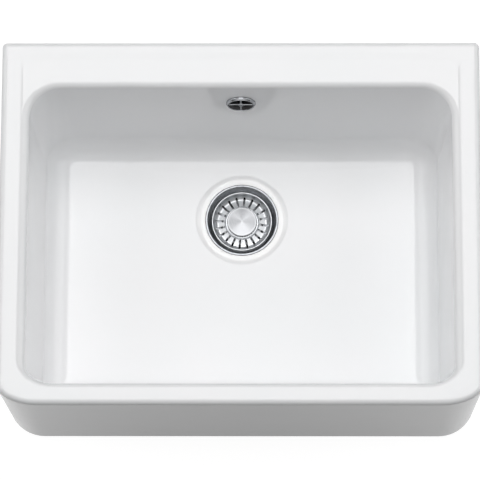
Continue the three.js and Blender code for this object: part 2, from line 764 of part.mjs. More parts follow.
// ---------------------------------------------------------------- hose, washers and nuts
/** A nut round the joint of collar and hose, standing on Z, with its wide bore at the high end. */
function nutGeometry() {
  const wideBore = collarRadius + fitClearance;
  const hoseSide = hoseRadius + fitClearance;
  const step = nutLength - nutLap;
  const nut = turned([
    [hoseSide, 0], [nutRadius - nutRibDepth * 2, 0], [nutRadius - nutRibDepth, nutRibDepth],
    [nutRadius - nutRibDepth, nutLength - nutRibDepth], [nutRadius - nutRibDepth * 2, nutLength],
    [wideBore, nutLength], [wideBore, step - hoseWasherThickness],
    [hoseSide, step - hoseWasherThickness - cutOver],
  ], smallTurnSteps);
  const rib = block(nutRibDepth * 3, nutRibDepth * 3, nutLength - nutRibDepth * 4,
    nutRadius - nutRibDepth * 1.5, 0, nutLength / 2);
  return join(nut, ...aroundZ(rib, nutRibCount));
}

const hoseWasherGeometry = () => tube(hoseBore, hoseRadius, 0, hoseWasherThickness, smallTurnSteps);

/** The hose's centre line: down along the rear wall, round under the basin and level to the waste body. */
function hoseRoute() {
  const down = new THREE.Vector3(0, -Math.sin(draftAngle), -Math.cos(draftAngle));
  const start = new THREE.Vector3(0, elbowAxis, -elbowCollarDrop - hoseWasherThickness)
    .applyAxisAngle(new THREE.Vector3(1, 0, 0), -draftAngle)
    .add(new THREE.Vector3(0, overflowY, overflowHeight));
  const turn = Math.PI / 2 - draftAngle;
  const knee = start.clone().addScaledVector(down, (-inletDepth - start.z) / down.z);
  const tangent = hoseBend * Math.tan(turn / 2);
  const bendStart = knee.clone().addScaledVector(down, -tangent);
  const fall = bendStart.distanceTo(start);
  const bendLength = hoseBend * turn;
  const level = knee.y - tangent - (wasteY + inletReach);
  const length = fall + bendLength + level;
  const centre = new THREE.Vector3(0, knee.y - tangent, -inletDepth + hoseBend);
  const at = s => {
    const angle = draftAngle + THREE.MathUtils.clamp((s - fall) / hoseBend, 0, turn);
    const ahead = new THREE.Vector3(0, -Math.sin(angle), -Math.cos(angle));
    const outward = new THREE.Vector3(0, Math.cos(angle), -Math.sin(angle));
    const past = Math.max(s - fall - bendLength, 0);
    const middle = s < fall ? start.clone().addScaledVector(down, s)
      : centre.clone().addScaledVector(outward, hoseBend).addScaledVector(ahead, past);
    return { middle, outward };
  };
  return { at, length };
}

function hoseGeometry() {
  const { at, length } = hoseRoute();
  const ring = (s, radius) => {
    const { middle, outward } = at(s);
    return Array.from({ length: hoseSides }, (_, i) => {
      const angle = 2 * Math.PI * (i + 0.5) / hoseSides;
      return middle.clone().addScaledVector(outward, radius * Math.sin(angle))
        .add(new THREE.Vector3(radius * Math.cos(angle), 0, 0));
    });
  };
  const ribs = Math.floor((length - 2 * hoseCuff) / ribPitch);
  const pitch = (length - 2 * hoseCuff) / ribs;
  const outside = [ring(0, hoseRadius)];
  for (let i = 0; i < ribs; i++) {
    outside.push(ring(hoseCuff + i * pitch, hoseRadius));
    outside.push(ring(hoseCuff + (i + 0.5) * pitch, hoseRadius - ribDepth));
  }
  outside.push(ring(length - hoseCuff, hoseRadius), ring(length, hoseRadius));
  const boreSteps = Math.ceil(ribs / ribsPerBoreRing);
  const bore = Array.from({ length: boreSteps + 1 }, (_, i) => ring(length * (1 - i / boreSteps), hoseBore));
  return loftLoop([...outside, ...bore]);
}

// ---------------------------------------------------------------- assembly
const sink = new THREE.Group();

piece(sink, 'basin', basinGeometry(), glazedFireclay);

const waste = new THREE.Group();
waste.position.y = wasteY;
sink.add(waste);
piece(waste, 'strainer_cup', strainerCupGeometry(), polishedSteel);
piece(waste, 'cup_seal', cupSealGeometry(), blackRubber);
piece(waste, 'lower_gasket', lowerGasketGeometry(), blackRubber);
piece(waste, 'waste_body', wasteBodyGeometry(), whitePlastic);
piece(waste, 'clamp_bolt', clampBoltGeometry(), brass);
piece(waste, 'bolt_washer', boltWasherGeometry(), greyPlastic);
piece(waste, 'basket', basketGeometry(), polishedSteel);
piece(waste, 'knob', knobGeometry(), brushedSteel);
piece(waste, 'basket_stem', basketStemGeometry(), brushedSteel);
piece(waste, 'stem_clip', stemClipGeometry(), whitePlastic);
piece(waste, 'stopper_plate', stopperPlateGeometry(), polishedSteel);
piece(waste, 'stopper_seal', stopperSealGeometry(), blackRubber);
piece(waste, 'stem_circlip', stemCirclipGeometry(), brushedSteel);

const overflow = new THREE.Group();
overflow.position.set(0, overflowY, overflowHeight);
overflow.rotation.x = -draftAngle;
sink.add(overflow);
piece(overflow, 'overflow_rosette', rosetteGeometry(), chrome);
piece(overflow, 'overflow_screw', overflowScrewGeometry(), chrome);
piece(overflow, 'overflow_gasket', overflowGasketGeometry(), blackRubber);
piece(overflow, 'overflow_elbow', overflowElbowGeometry(), whitePlastic);
const upperWasher = piece(overflow, 'upper_hose_washer', hoseWasherGeometry(), blackRubber);
upperWasher.position.set(0, elbowAxis, -elbowCollarDrop - hoseWasherThickness);
const upperNut = piece(overflow, 'upper_hose_nut', nutGeometry(), whitePlastic);
upperNut.position.set(0, elbowAxis, -elbowCollarDrop - nutLength + nutLap);

piece(sink, 'overflow_hose', hoseGeometry(), greyPlastic);

const inlet = new THREE.Group();
inlet.position.set(0, wasteY + inletReach, -inletDepth);
inlet.rotation.x = Math.PI / 2;
sink.add(inlet);
piece(inlet, 'lower_hose_washer', hoseWasherGeometry(), blackRubber);
const lowerNut = piece(inlet, 'lower_hose_nut', nutGeometry(), whitePlastic);
lowerNut.position.z = hoseWasherThickness - nutLength + nutLap;

export default sink;
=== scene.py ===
"""Looks for the farmhouse sink with an apron front: glazed fireclay basin, strainer waste and overflow."""

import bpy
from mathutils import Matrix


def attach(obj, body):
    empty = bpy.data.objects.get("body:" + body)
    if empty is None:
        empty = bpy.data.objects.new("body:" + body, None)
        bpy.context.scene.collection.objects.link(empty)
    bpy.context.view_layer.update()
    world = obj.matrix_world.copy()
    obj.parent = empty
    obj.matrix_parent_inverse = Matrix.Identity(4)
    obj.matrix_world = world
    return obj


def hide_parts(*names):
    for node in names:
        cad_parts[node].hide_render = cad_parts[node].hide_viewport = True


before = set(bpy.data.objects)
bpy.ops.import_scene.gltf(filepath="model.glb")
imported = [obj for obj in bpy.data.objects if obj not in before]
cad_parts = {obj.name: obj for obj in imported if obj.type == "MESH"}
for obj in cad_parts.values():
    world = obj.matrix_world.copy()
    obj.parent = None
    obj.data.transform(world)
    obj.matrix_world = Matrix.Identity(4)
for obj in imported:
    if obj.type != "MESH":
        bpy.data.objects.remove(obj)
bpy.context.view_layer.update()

import math

import bmesh
import bpy
from mathutils import Matrix, Vector

# ---------------- sizes, mm, from the part's source; a few are nearer to the photo here
SINK_WIDTH, SINK_DEPTH, SINK_HEIGHT = 595, 460, 220
FRONT_CORNER_WIDTH, FRONT_CORNER_DEPTH, FRONT_CORNER_FOOT, REAR_CORNER = 52, 27, 46, 6
TOP_EDGE, BOTTOM_EDGE = 7, 6
CROWN_REAR, CROWN_FALL_REAR, CROWN_HEIGHT = 12, 12, 1.2
SIDE_RIM, FRONT_RIM, REAR_LEDGE = 35, 27, 58.4
SIDE_ROUNDING, FRONT_ROUNDING, BOWL_EDGE = 16, 7, 8.4
REAR_BOWL_CORNER, FRONT_BOWL_WIDTH, FRONT_BOWL_DEPTH = 38, 34, 24
SIDE_DRAFT, FRONT_DRAFT, REAR_DRAFT = 0.067, 0.08, 0.125
FILLET_RISE, FILLET_SIDE, FILLET_FRONT, FILLET_REAR, FLOOR_CORNER = 30, 34.5, 31, 26, 8
FLOOR_HEIGHT, FLOOR_FALL = 24.4, 1.2
WASTE_Y = SINK_DEPTH / 2 - 179
RECESS, RECESS_EDGE, NEST = 61, 8.5, 1.4
SEAT, OUTLET, COUNTERSINK, COUNTERSINK_DEPTH = 19.5, 42, 46, 4
UNDER_RECESS, UNDER_RECESS_DEPTH = 49.8, 4
REAR_WALL, LEDGE_THICKNESS, POCKET_SIDE = 25, 25, 47.5
LEDGE = SINK_HEIGHT - CROWN_HEIGHT
WALL_TOP = LEDGE - BOWL_EDGE
DRAFT = math.atan(REAR_DRAFT)
OVERFLOW_Z = SINK_HEIGHT - 52
OVERFLOW_Y = SINK_DEPTH / 2 - REAR_LEDGE - REAR_DRAFT * (WALL_TOP - OVERFLOW_Z)
LIP, LIP_WIDTH, LIP_TOP, SHEET = 47, 2.3, SEAT + 1.8, 1.0
CUP, CONE_FALL, CUP_DEPTH = 39.2, 6.7, 38.3
CONE_LOW, CUP_FLOOR = LIP_TOP - CONE_FALL, LIP_TOP - CUP_DEPTH
CUP_HOLES, HOLE_CIRCLE, HOLE = 8, 18.5, 9.2
DISH, DISH_LOW, RING_RISE, FLAT_RISE = 31.6, CONE_LOW - 10.8, 2.8, 1.3
PLATEAU = DISH_LOW + RING_RISE + FLAT_RISE
SLOTS_IN_RING, SLOT_START, SLOT_END, SLOT_WIDTH, SLOT_TURN = 20, 22.3, 34.6, 2.9, math.radians(5.5)
KNOB, KNOB_LOW, STEM_HOLE = 19.4, PLATEAU + 1.7, 3.3
KNOB_TOP, KNOB_CROWN, KNOB_FALL = KNOB_LOW + 4, 1.7, 2.3
PLATE_TOP, CLIP_TOP = CUP_FLOOR + 6.7, CUP_FLOOR - 4
BOLT_LOW, BOLT_HEAD, BOLT_LENGTH, BOLT_HOLE = CUP_FLOOR + 1, 3, 32, 5.3
TAIL, TAIL_ROOT, TAIL_END = 23.9, -92, -120
FLANGE_RIBS, NUT_RIBS, NUT, NUT_HEIGHT, WASHER = 12, 12, 13.2, 16, 1.8
OVERFLOW_BORE, ROSETTE, FACE = 14, 18.7, -4.4
ELBOW_FRONT = REAR_WALL + 2.3
ELBOW_AXIS, ELBOW_BACK, ELBOW_CHAMBER = REAR_WALL + 15.5, ELBOW_FRONT + 25.5, 14.9
COLLAR, COLLAR_DROP, HOSE_BORE = 11, 33, 7.3
INLET_Z, INLET_REACH = -58, 55.5
HOSE_BEND = 65

STAND = Matrix()
WASTE = Matrix.Translation((0, WASTE_Y, 0))
LAID = Matrix.Rotation(-math.pi / 2, 4, "X")
LEANING = Matrix.Translation((0, OVERFLOW_Y, OVERFLOW_Z)) @ Matrix.Rotation(-DRAFT, 4, "X")
OVERFLOW = LEANING @ LAID
MILLIMETRES = Matrix.Scale(0.001, 4)


# ---------------- materials
def colour(code):
    """An sRGB hex value as linear RGBA."""
    parts = [int(code[i:i + 2], 16) / 255 for i in (1, 3, 5)]
    return (*(c / 12.92 if c <= 0.04045 else ((c + 0.055) / 1.055) ** 2.4 for c in parts), 1)


def add(tree, kind, inputs=(), **settings):
    """Adds a node; inputs gives a value or another node's socket for each of its sockets."""
    node = tree.nodes.new(kind)
    for name, value in settings.items():
        setattr(node, name, value)
    for socket, value in dict(inputs).items():
        if isinstance(value, bpy.types.NodeSocket):
            tree.links.new(value, node.inputs[socket])
        else:
            node.inputs[socket].default_value = value
    return node


def maths(tree, a, b=0.0, operation="ADD", **settings):
    """The sum of two values, or the outcome of another operation."""
    return add(tree, "ShaderNodeMath", {0: a, 1: b}, operation=operation, **settings).outputs[0]


def vector(tree, x=0.0, y=0.0, z=0.0):
    """A vector from its three parts."""
    return add(tree, "ShaderNodeCombineXYZ", {"X": x, "Y": y, "Z": z}).outputs["Vector"]


def new_material(name, **sockets):
    """A material with one Principled shader, whose plain values are the keywords."""
    material = bpy.data.materials.new(name)
    material.use_nodes = True
    tree = material.node_tree
    shader = tree.nodes["Principled BSDF"]
    for socket, value in sockets.items():
        shader.inputs[socket.replace("_", " ")].default_value = value
    place = add(tree, "ShaderNodeTexCoord").outputs["Object"]
    return material, tree, shader, place


def feed(tree, shader, **sockets):
    """Links the shader's named sockets."""
    for socket, value in sockets.items():
        tree.links.new(value, shader.inputs[socket.replace("_", " ")])


def noise(tree, place, size_mm, detail=2, roughness=0.5, stretch=None):
    """Noise whose spots are about size_mm across."""
    if stretch:
        place = add(tree, "ShaderNodeMapping", {"Vector": place, "Scale": stretch}).outputs["Vector"]
    return add(tree, "ShaderNodeTexNoise", {
        "Vector": place, "Scale": 1000 / size_mm, "Detail": detail, "Roughness": roughness}).outputs["Fac"]


def spread(tree, value, low, high, to_low, to_high):
    """Maps low..high to to_low..to_high, and clamps."""
    return add(tree, "ShaderNodeMapRange", {
        "Value": value, "From Min": low, "From Max": high, "To Min": to_low,
        "To Max": to_high}).outputs["Result"]


def bump(tree, height, depth_mm, normal=None):
    """A bump whose full height is depth_mm."""
    inputs = {"Height": height, "Distance": depth_mm / 1000, "Strength": 1.0}
    if normal:
        inputs["Normal"] = normal
    return add(tree, "ShaderNodeBump", inputs).outputs["Normal"]


def mixed(tree, share, a, b):
    """A colour between two, each a hex code or another node's socket."""
    a, b = (colour(c) if isinstance(c, str) else c for c in (a, b))
    # Sockets 6 and 7, and output 2, are the colour ones of this node.
    return add(tree, "ShaderNodeMix", {0: share, 6: a, 7: b}, data_type="RGBA").outputs[2]


def from_waste(tree, place):
    """The level way out from the waste's upright axis, and its length in metres."""
    centred = add(tree, "ShaderNodeMapping", {"Vector": place, "Location": (0, -WASTE_Y / 1000, 0)})
    apart = add(tree, "ShaderNodeSeparateXYZ", {"Vector": centred.outputs["Vector"]})
    level = vector(tree, apart.outputs["X"], apart.outputs["Y"])
    return level, add(tree, "ShaderNodeVectorMath", {0: level}, operation="LENGTH").outputs["Value"]


def fireclay_material():
    """Fireclay under a fired white glaze: a glassy skin with slow waves, and a bare, chalky foot."""
    material, tree, shader, place = new_material("glazed_fireclay", IOR=1.52)
    height = add(tree, "ShaderNodeSeparateXYZ", {"Vector": place}).outputs["Z"]
    ragged = spread(tree, noise(tree, place, 9, 3), 0.3, 0.7, -0.0012, 0.0012)
    # The glaze was wiped off the lowest 1.2 to 2 mm, along a ragged line.
    bare = spread(tree, maths(tree, height, ragged), 0.0012, 0.0020, 1, 0)
    clay = mixed(tree, spread(tree, noise(tree, place, 1.4, 4), 0.35, 0.7, 0, 1), "#E4DED0", "#CFC6B4")
    glaze = mixed(tree, spread(tree, noise(tree, place, 160, 2), 0.35, 0.65, 0, 1), "#F3F3F4", "#F1F2F3")
    # Painted highlight: the glaze is drawn whiter in the round recess and down the waste hole, where the
    # light catches its slopes.
    painted_recess_highlight = spread(tree, from_waste(tree, place)[1], (RECESS - 7) / 1000, (RECESS - 0.5) / 1000, 1, 0)
    gloss = spread(tree, noise(tree, place, 70, 2), 0.3, 0.7, 0.10, 0.15)
    waves = bump(tree, noise(tree, place, 55, 1), 0.10)
    peel = bump(tree, noise(tree, place, 4, 2), 0.003, waves)
    grit = maths(tree, noise(tree, place, 0.9, 3), bare, "MULTIPLY")
    # The base colour carries the painted highlight of the recess.
    feed(tree, shader, Base_Color=mixed(tree, bare, mixed(tree, painted_recess_highlight, glaze, "#FFFFFF"), clay),
         Roughness=maths(tree, gloss, bare, use_clamp=True), Normal=bump(tree, grit, 0.12, peel))
    return material


def steel_material(name, tint, low, high, lines=None, line_depth=0.004):
    """Stainless steel; lines gives the spacing in mm of its brush or lathe marks along x, y and z."""
    material, tree, shader, place = new_material(name, Metallic=1.0)
    marks = noise(tree, place, 1, 3, 0.6, [1 / s for s in lines]) if lines else noise(tree, place, 6, 3)
    smears = noise(tree, place, 14, 2)
    feed(tree, shader, Base_Color=mixed(tree, spread(tree, marks, 0.3, 0.7, 0, 1), *tint),
         Roughness=spread(tree, maths(tree, marks, smears), 0.7, 1.3, low, high),
         Normal=bump(tree, marks, line_depth))
    return material


def turned_material():
    """Stainless steel faced on a lathe: fine circles round the stem, so a light fans out in two lobes."""
    material, tree, shader, place = new_material("turned_steel", Metallic=1.0, Anisotropic=0.5)
    # Circles 0.45 mm apart: the real ones are finer than the picture shows.
    outwards, reach = from_waste(tree, place)
    circles = noise(tree, vector(tree, reach), 0.45, 2)
    # A groove spreads the light across itself, so the gloss is stretched outwards from the stem.
    way_out = add(tree, "ShaderNodeVectorMath", {0: outwards}, operation="NORMALIZE").outputs["Vector"]
    feed(tree, shader, Base_Color=mixed(tree, spread(tree, circles, 0.3, 0.7, 0, 1), "#8A8B8D", "#7F8082"),
         Roughness=spread(tree, circles, 0.3, 0.7, 0.2, 0.26), Normal=bump(tree, circles, 0.002),
         Tangent=way_out)
    return material


def moulded_material(name, tint, rough, grain_mm, grain_depth):
    """Injection moulded plastic: a fine spark-eroded grain and slow flow marks in the colour."""
    material, tree, shader, place = new_material(name, IOR=1.5)
    flow = spread(tree, noise(tree, place, 25, 2), 0.3, 0.7, 0, 1)
    grain = noise(tree, place, grain_mm, 3)
    feed(tree, shader, Base_Color=mixed(tree, flow, *tint), Roughness=spread(tree, grain, 0.3, 0.7, *rough),
         Normal=bump(tree, grain, grain_depth))
    return material


FIRECLAY = fireclay_material()
# Deep-drawn stainless steel, polished after drawing: near-mirror with faint smears.
CUP_STEEL = steel_material("polished_stainless", ("#85878A", "#76787B"), 0.16, 0.26)
# Pressed stainless sheet, lightly brushed: soft streaks about 0.6 mm apart.
BASKET_STEEL = steel_material("pressed_stainless", ("#C4C6C8", "#B6B8BB"), 0.34, 0.44, (0.6, 5, 0.6))
# Drawn stainless rod: streaks along the stem, and glossier than the pressed sheet.
STEM_STEEL = steel_material("drawn_stainless", ("#BCBEC1", "#AEB0B3"), 0.25, 0.38, (1, 1, 6))
# Faced on a lathe: its fine circles fan the overhead lamp out.
KNOB_STEEL = turned_material()
# Bright chrome plate over moulded plastic: a clean mirror with a touch of orange peel.
CHROME = steel_material("chrome_plate", ("#A9ABAE", "#9FA1A4"), 0.05, 0.10, None, 0.001)
# Machined brass bolt: yellow, with lathe marks 0.3 mm apart along its axis.
BRASS = steel_material("machined_brass", ("#C9AE62", "#B3964C"), 0.2, 0.34, (6, 6, 0.3))
# Polypropylene: milky white and a little waxy.
WHITE_PLASTIC = moulded_material("moulded_polypropylene", ("#EDEDE9", "#E6E6E1"), (0.32, 0.42), 0.8, 0.012)
# Black satin ABS inside the overflow, painted shade: the throat is made black to stand in for the shade of
# the hole behind the ring.
PAINTED_SHADE_BLACK = moulded_material("painted_shade_black_abs", ("#161617", "#1E1E20"), (0.4, 0.55), 0.8, 0.012)
# Blow-moulded polyethylene: duller and greyer.
GREY_PLASTIC = moulded_material("moulded_polyethylene", ("#A3A6A9", "#96999C"), (0.42, 0.56), 1.2, 0.02)
# Moulded nitrile rubber: black, dull, with a dusty bloom.
RUBBER = moulded_material("moulded_rubber", ("#1E1E1F", "#2B2B2C"), (0.62, 0.8), 0.7, 0.02)


# ---------------- meshes
def new_object(name, data):
    """An object at the origin, in the scene."""
    made = bpy.data.objects.new(name, data)
    bpy.context.scene.collection.objects.link(made)
    return made


def mesh_object(name, points, faces, matrix=STAND):
    """An object at the origin, from points in mm placed by the matrix."""
    mesh = bpy.data.meshes.new(name)
    mesh.from_pydata([tuple(p) for p in points], [], faces)
    built = bmesh.new()
    built.from_mesh(mesh)
    bmesh.ops.remove_doubles(built, verts=built.verts, dist=1e-5)
    bmesh.ops.recalc_face_normals(built, faces=built.faces)
    built.to_mesh(mesh)
    built.free()
    mesh.transform(MILLIMETRES @ matrix)
    return new_object(name, mesh)


def lathe_parts(profile, steps, closed=True):
    """Points and faces of a profile of [r, z] turned about Z; points on the axis close it."""
    points, faces, rows = [], [], []
    for r, z in profile:
        if r < 1e-6:
            rows.append([len(points)] * steps)
            points.append((0, 0, z))
        else:
            rows.append(range(len(points), len(points) + steps))
            points += [(r * math.cos(a), r * math.sin(a), z)
                       for a in (math.tau * i / steps for i in range(steps))]
    pairs = list(zip(rows, rows[1:])) + ([(rows[-1], rows[0])] if closed else [])
    for low, high in pairs:
        for i in range(steps):
            j = (i + 1) % steps
            face = list(dict.fromkeys([low[i], low[j], high[j], high[i]]))
            if len(face) > 2:
                faces.append(face)
    return points, faces


def rounded(corners, steps):
    """A profile whose corners [r, z, radius] are rounded; closed, so the last leads to the first."""
    profile = []
    count = len(corners)
    for i, (r, z, *rest) in enumerate(corners):
        radius = rest[0] if rest else 0
        here = Vector((r, z))
        before = Vector(corners[i - 1][:2]) - here
        after = Vector(corners[(i + 1) % count][:2]) - here
        if not radius:
            profile.append((r, z))
            continue
        turn = before.angle(after)
        cut = min(radius / math.tan(turn / 2), before.length * 0.49, after.length * 0.49)
        start, end = here + before.normalized() * cut, here + after.normalized() * cut
        centre = here + (before.normalized() + after.normalized()).normalized() * math.hypot(
            cut, cut * math.tan(turn / 2))
        a, b = start - centre, end - centre
        for k in range(steps + 1):
            t = k / steps
            arm = (a * math.sin((1 - t) * a.angle(b)) + b * math.sin(t * a.angle(b))) / math.sin(a.angle(b))
            profile.append(tuple(centre + arm))
    return profile


def lathe(name, corners, matrix, steps=96, edge_steps=4):
    """A turned piece from a closed profile with rounded corners."""
    return mesh_object(name, *lathe_parts(rounded(corners, edge_steps), steps), matrix)


def turned(name, profile, matrix=STAND, steps=48):
    """A solid turned from a profile that starts and ends on the axis."""
    return mesh_object(name, *lathe_parts(profile, steps, False), matrix)


def cylinder(name, radius, low, high, matrix=STAND, steps=48):
    return turned(name, [(0, low), (radius, low), (radius, high), (0, high)], matrix, steps)


def flat_ring(name, inner, outer, low, high, roundings, matrix, steps=96):
    """A washer, with the roundings of its inner and outer edges."""
    soft_in, soft_out = roundings
    return lathe(name, [(inner, low, soft_in), (outer, low, soft_out), (outer, high, soft_out),
                        (inner, high, soft_in)], matrix, steps)


def ring_faces(count, rings, closed):
    """The faces between rings of count points; closed, so the last ring leads to the first."""
    faces = []
    for row in range(rings if closed else rings - 1):
        a, b = row * count, (row + 1) % rings * count
        faces += [(a + i, a + (i + 1) % count, b + (i + 1) % count, b + i) for i in range(count)]
    return faces


def threaded(name, radius, depth, pitch, low, high, bore, matrix, steps=72):
    """A tube with a helical thread cut into its outside."""
    rows = int((high - low) / pitch * 8)
    turns = [math.tau * i / steps for i in range(steps)]
    points = []
    for k in range(rows + 1):
        z = low + (high - low) * k / rows
        fade = min(1, (z - low) / pitch, (high - z) / pitch)
        for i, a in enumerate(turns):
            phase = (z / pitch - i / steps) % 1
            groove = depth * max(0, 1 - abs(phase - 0.5) * 3) * fade
            points.append(((radius - groove) * math.cos(a), (radius - groove) * math.sin(a), z))
    for z in (high, low):
        points += [(bore * math.cos(a), bore * math.sin(a), z) for a in turns]
    return mesh_object(name, points, ring_faces(steps, rows + 3, True), matrix)


def block(name, size, centre, matrix, bevel=0.0):
    """A box in mm, with its edges bevelled if a width is given."""
    built = bmesh.new()
    bmesh.ops.create_cube(built, size=1, matrix=Matrix.Translation(centre) @ Matrix.Diagonal((*size, 1)))
    if bevel:
        bmesh.ops.bevel(built, geom=built.edges[:], offset=bevel, segments=3, affect="EDGES", profile=0.5)
    mesh = bpy.data.meshes.new(name)
    built.to_mesh(mesh)
    built.free()
    mesh.transform(MILLIMETRES @ matrix)
    return new_object(name, mesh)


def settle(piece):
    """Applies the piece's modifiers, so that a plain mesh is left."""
    graph = bpy.context.evaluated_depsgraph_get()
    made = bpy.data.meshes.new_from_object(piece.evaluated_get(graph))
    piece.modifiers.clear()
    piece.data = made
    return piece


def combine(piece, others, operation="DIFFERENCE"):
    """Cuts others from the piece, or unites them with it, and removes them."""
    for other in others:
        modifier = piece.modifiers.new("combine", "BOOLEAN")
        modifier.operation, modifier.object, modifier.solver = operation, other, "EXACT"
        settle(piece)
        bpy.data.objects.remove(other)
    return piece


def finish_piece(piece, node, material, body="sink", sharp=38):
    """Shades a piece and gives it its material; parents it to the empty of the body it rides, and hides the
    CAD node that it stands for.
    """
    piece.data.materials.clear()
    piece.data.materials.append(material)
    piece.data.shade_smooth()
    piece.data.set_sharp_from_angle(angle=math.radians(sharp))
    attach(piece, body)
    if node:
        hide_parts(node)


# ---------------- Geometry Nodes
def node_tree(name, *labels):
    """A tree with a geometry input and output, and named inputs for its count, sizes and material."""
    tree = bpy.data.node_groups.new(name, "GeometryNodeTree")
    tree.interface.new_socket("Geometry", in_out="OUTPUT", socket_type="NodeSocketGeometry")
    for label in ("Geometry", *labels):
        kind = {"Geometry": "Geometry", "Count": "Int", "Material": "Material"}.get(label, "Float")
        tree.interface.new_socket(label, in_out="INPUT", socket_type="NodeSocket" + kind)
    return tree, add(tree, "NodeGroupInput").outputs


def upright(tree, given):
    """The height between Low and High, and its middle."""
    height = maths(tree, given["High"], given["Low"], "SUBTRACT")
    return height, maths(tree, maths(tree, given["High"], given["Low"]), 2.0, "DIVIDE")


def around_axis(tree, given, geometry):
    """Copies of the geometry evenly round the upright axis, Count of them from First Angle on."""
    line = add(tree, "GeometryNodeMeshLine", {"Count": given["Count"], "Offset": (0, 0, 0)})
    index = add(tree, "GeometryNodeInputIndex").outputs[0]
    step = maths(tree, math.tau, given["Count"], "DIVIDE")
    angle = maths(tree, maths(tree, index, step, "MULTIPLY"), given["First Angle"])
    copies = add(tree, "GeometryNodeInstanceOnPoints", {
        "Points": line.outputs["Mesh"], "Instance": geometry, "Rotation": vector(tree, z=angle)})
    return copies.outputs["Instances"]


def slots_tree():
    """Cuts round-ended slots, or round holes, through a turned piece, evenly round its axis."""
    tree, given = node_tree("slots_round_axis", "Count", "Inner Radius", "Outer Radius", "Width", "Low",
                            "High", "First Angle", "Material")
    height, middle = upright(tree, given)
    half = maths(tree, given["Width"], 2.0, "DIVIDE")
    end = add(tree, "GeometryNodeMeshCylinder", {"Vertices": 20, "Radius": half, "Depth": height})
    ends = add(tree, "GeometryNodeJoinGeometry")
    for reach in (maths(tree, given["Inner Radius"], half),
                  maths(tree, given["Outer Radius"], half, "SUBTRACT")):
        moved = add(tree, "GeometryNodeTransform", {
            "Geometry": end.outputs["Mesh"], "Translation": vector(tree, reach, z=middle)})
        tree.links.new(moved.outputs["Geometry"], ends.inputs["Geometry"])
    cutter = add(tree, "GeometryNodeConvexHull", {"Geometry": ends.outputs["Geometry"]})
    copies = around_axis(tree, given, cutter.outputs["Convex Hull"])
    cut = add(tree, "GeometryNodeMeshBoolean", {
        "Mesh 1": given["Geometry"],
        "Mesh 2": add(tree, "GeometryNodeRealizeInstances", {"Geometry": copies}).outputs["Geometry"]},
        operation="DIFFERENCE", solver="EXACT")
    return end_tree(tree, given, cut.outputs["Mesh"])


def ribs_tree():
    """Adds upright ribs with softened edges to the outside of a turned piece."""
    tree, given = node_tree("ribs_round_axis", "Count", "Radius", "Reach", "Width", "Low", "High",
                            "First Angle", "Material")
    height, middle = upright(tree, given)
    rib = add(tree, "GeometryNodeMeshCube", {
        "Size": vector(tree, given["Reach"], given["Width"], height), "Vertices X": 3, "Vertices Y": 3,
        "Vertices Z": 5})
    centre = maths(tree, given["Radius"], maths(tree, given["Reach"], 2.0, "DIVIDE"), "SUBTRACT")
    soft = add(tree, "GeometryNodeSubdivisionSurface", {"Mesh": rib.outputs["Mesh"], "Level": 1})
    moved = add(tree, "GeometryNodeTransform", {
        "Geometry": soft.outputs["Mesh"], "Translation": vector(tree, centre, z=middle)})
    copies = around_axis(tree, given, moved.outputs["Geometry"])
    both = add(tree, "GeometryNodeJoinGeometry", {"Geometry": given["Geometry"]})
    tree.links.new(copies, both.inputs["Geometry"])
    return end_tree(tree, given, both.outputs["Geometry"])


def hose_tree():
    """Skins a path with a ribbed hose: plain cuffs at both ends and round ribs between."""
    tree, given = node_tree("ribbed_hose", "Radius", "Rib Depth", "Rib Pitch", "Cuff", "Step", "Material")
    fine = add(tree, "GeometryNodeResampleCurve", {
        "Curve": given["Geometry"], "Length": given["Step"]}, mode="LENGTH").outputs["Curve"]
    along = add(tree, "GeometryNodeSplineParameter").outputs["Length"]
    length = add(tree, "GeometryNodeCurveLength", {"Curve": given["Geometry"]}).outputs["Length"]
    nearest_end = maths(tree, along, maths(tree, length, along, "SUBTRACT"), "MINIMUM")
    from_cuff = maths(tree, nearest_end, given["Cuff"], "SUBTRACT")
    inside = spread(tree, from_cuff, 0.0, maths(tree, given["Rib Pitch"], 2.0, "DIVIDE"), 0.0, 1.0)
    phase = maths(tree, maths(tree, from_cuff, given["Rib Pitch"], "DIVIDE"), math.tau, "MULTIPLY")
    wave = maths(tree, 1.0, maths(tree, phase, operation="COSINE"), "SUBTRACT")
    # A power above one keeps the crests broad and the valleys narrow, as blown ribs are.
    valley = maths(tree, maths(tree, wave, 2.0, "DIVIDE"), 1.6, "POWER")
    sunk = maths(tree, maths(tree, valley, inside, "MULTIPLY"), given["Rib Depth"], "MULTIPLY")
    radius = maths(tree, given["Radius"], sunk, "SUBTRACT")
    ring = add(tree, "GeometryNodeCurvePrimitiveCircle", {"Resolution": 40, "Radius": 1.0}).outputs["Curve"]
    tube = add(tree, "GeometryNodeCurveToMesh", {
        "Curve": fine, "Profile Curve": ring, "Scale": radius, "Fill Caps": True})
    return end_tree(tree, given, tube.outputs["Mesh"])


def end_tree(tree, given, geometry):
    """Realises instances, sets the material, leads to the tree's output and returns the tree."""
    real = add(tree, "GeometryNodeRealizeInstances", {"Geometry": geometry}).outputs["Geometry"]
    dressed = add(tree, "GeometryNodeSetMaterial", {"Geometry": real, "Material": given["Material"]})
    out = add(tree, "NodeGroupOutput", {"Geometry": dressed.outputs["Geometry"]})
    out.is_active_output = True
    return tree


def add_tree(piece, tree, values):
    """Gives the piece a tree with its named inputs set."""
    modifier = piece.modifiers.new(tree.name, "NODES")
    modifier.node_group = tree
    for item in tree.interface.items_tree:
        if item.in_out == "INPUT" and item.name in values:
            modifier[item.identifier] = values[item.name]
    piece.update_tag()


SLOTS, RIBS, HOSE = slots_tree(), ribs_tree(), hose_tree()


def repeat_round(piece, tree, material, count, first=0.0, **sizes):
    """Cuts slots or adds ribs round a piece that still stands on the Z axis; the sizes are in mm."""
    values = {name.replace("_", " ").title(): size / 1000 for name, size in sizes.items()}
    add_tree(piece, tree, {"Count": count, "First Angle": first, "Material": material, **values})
    return settle(piece)


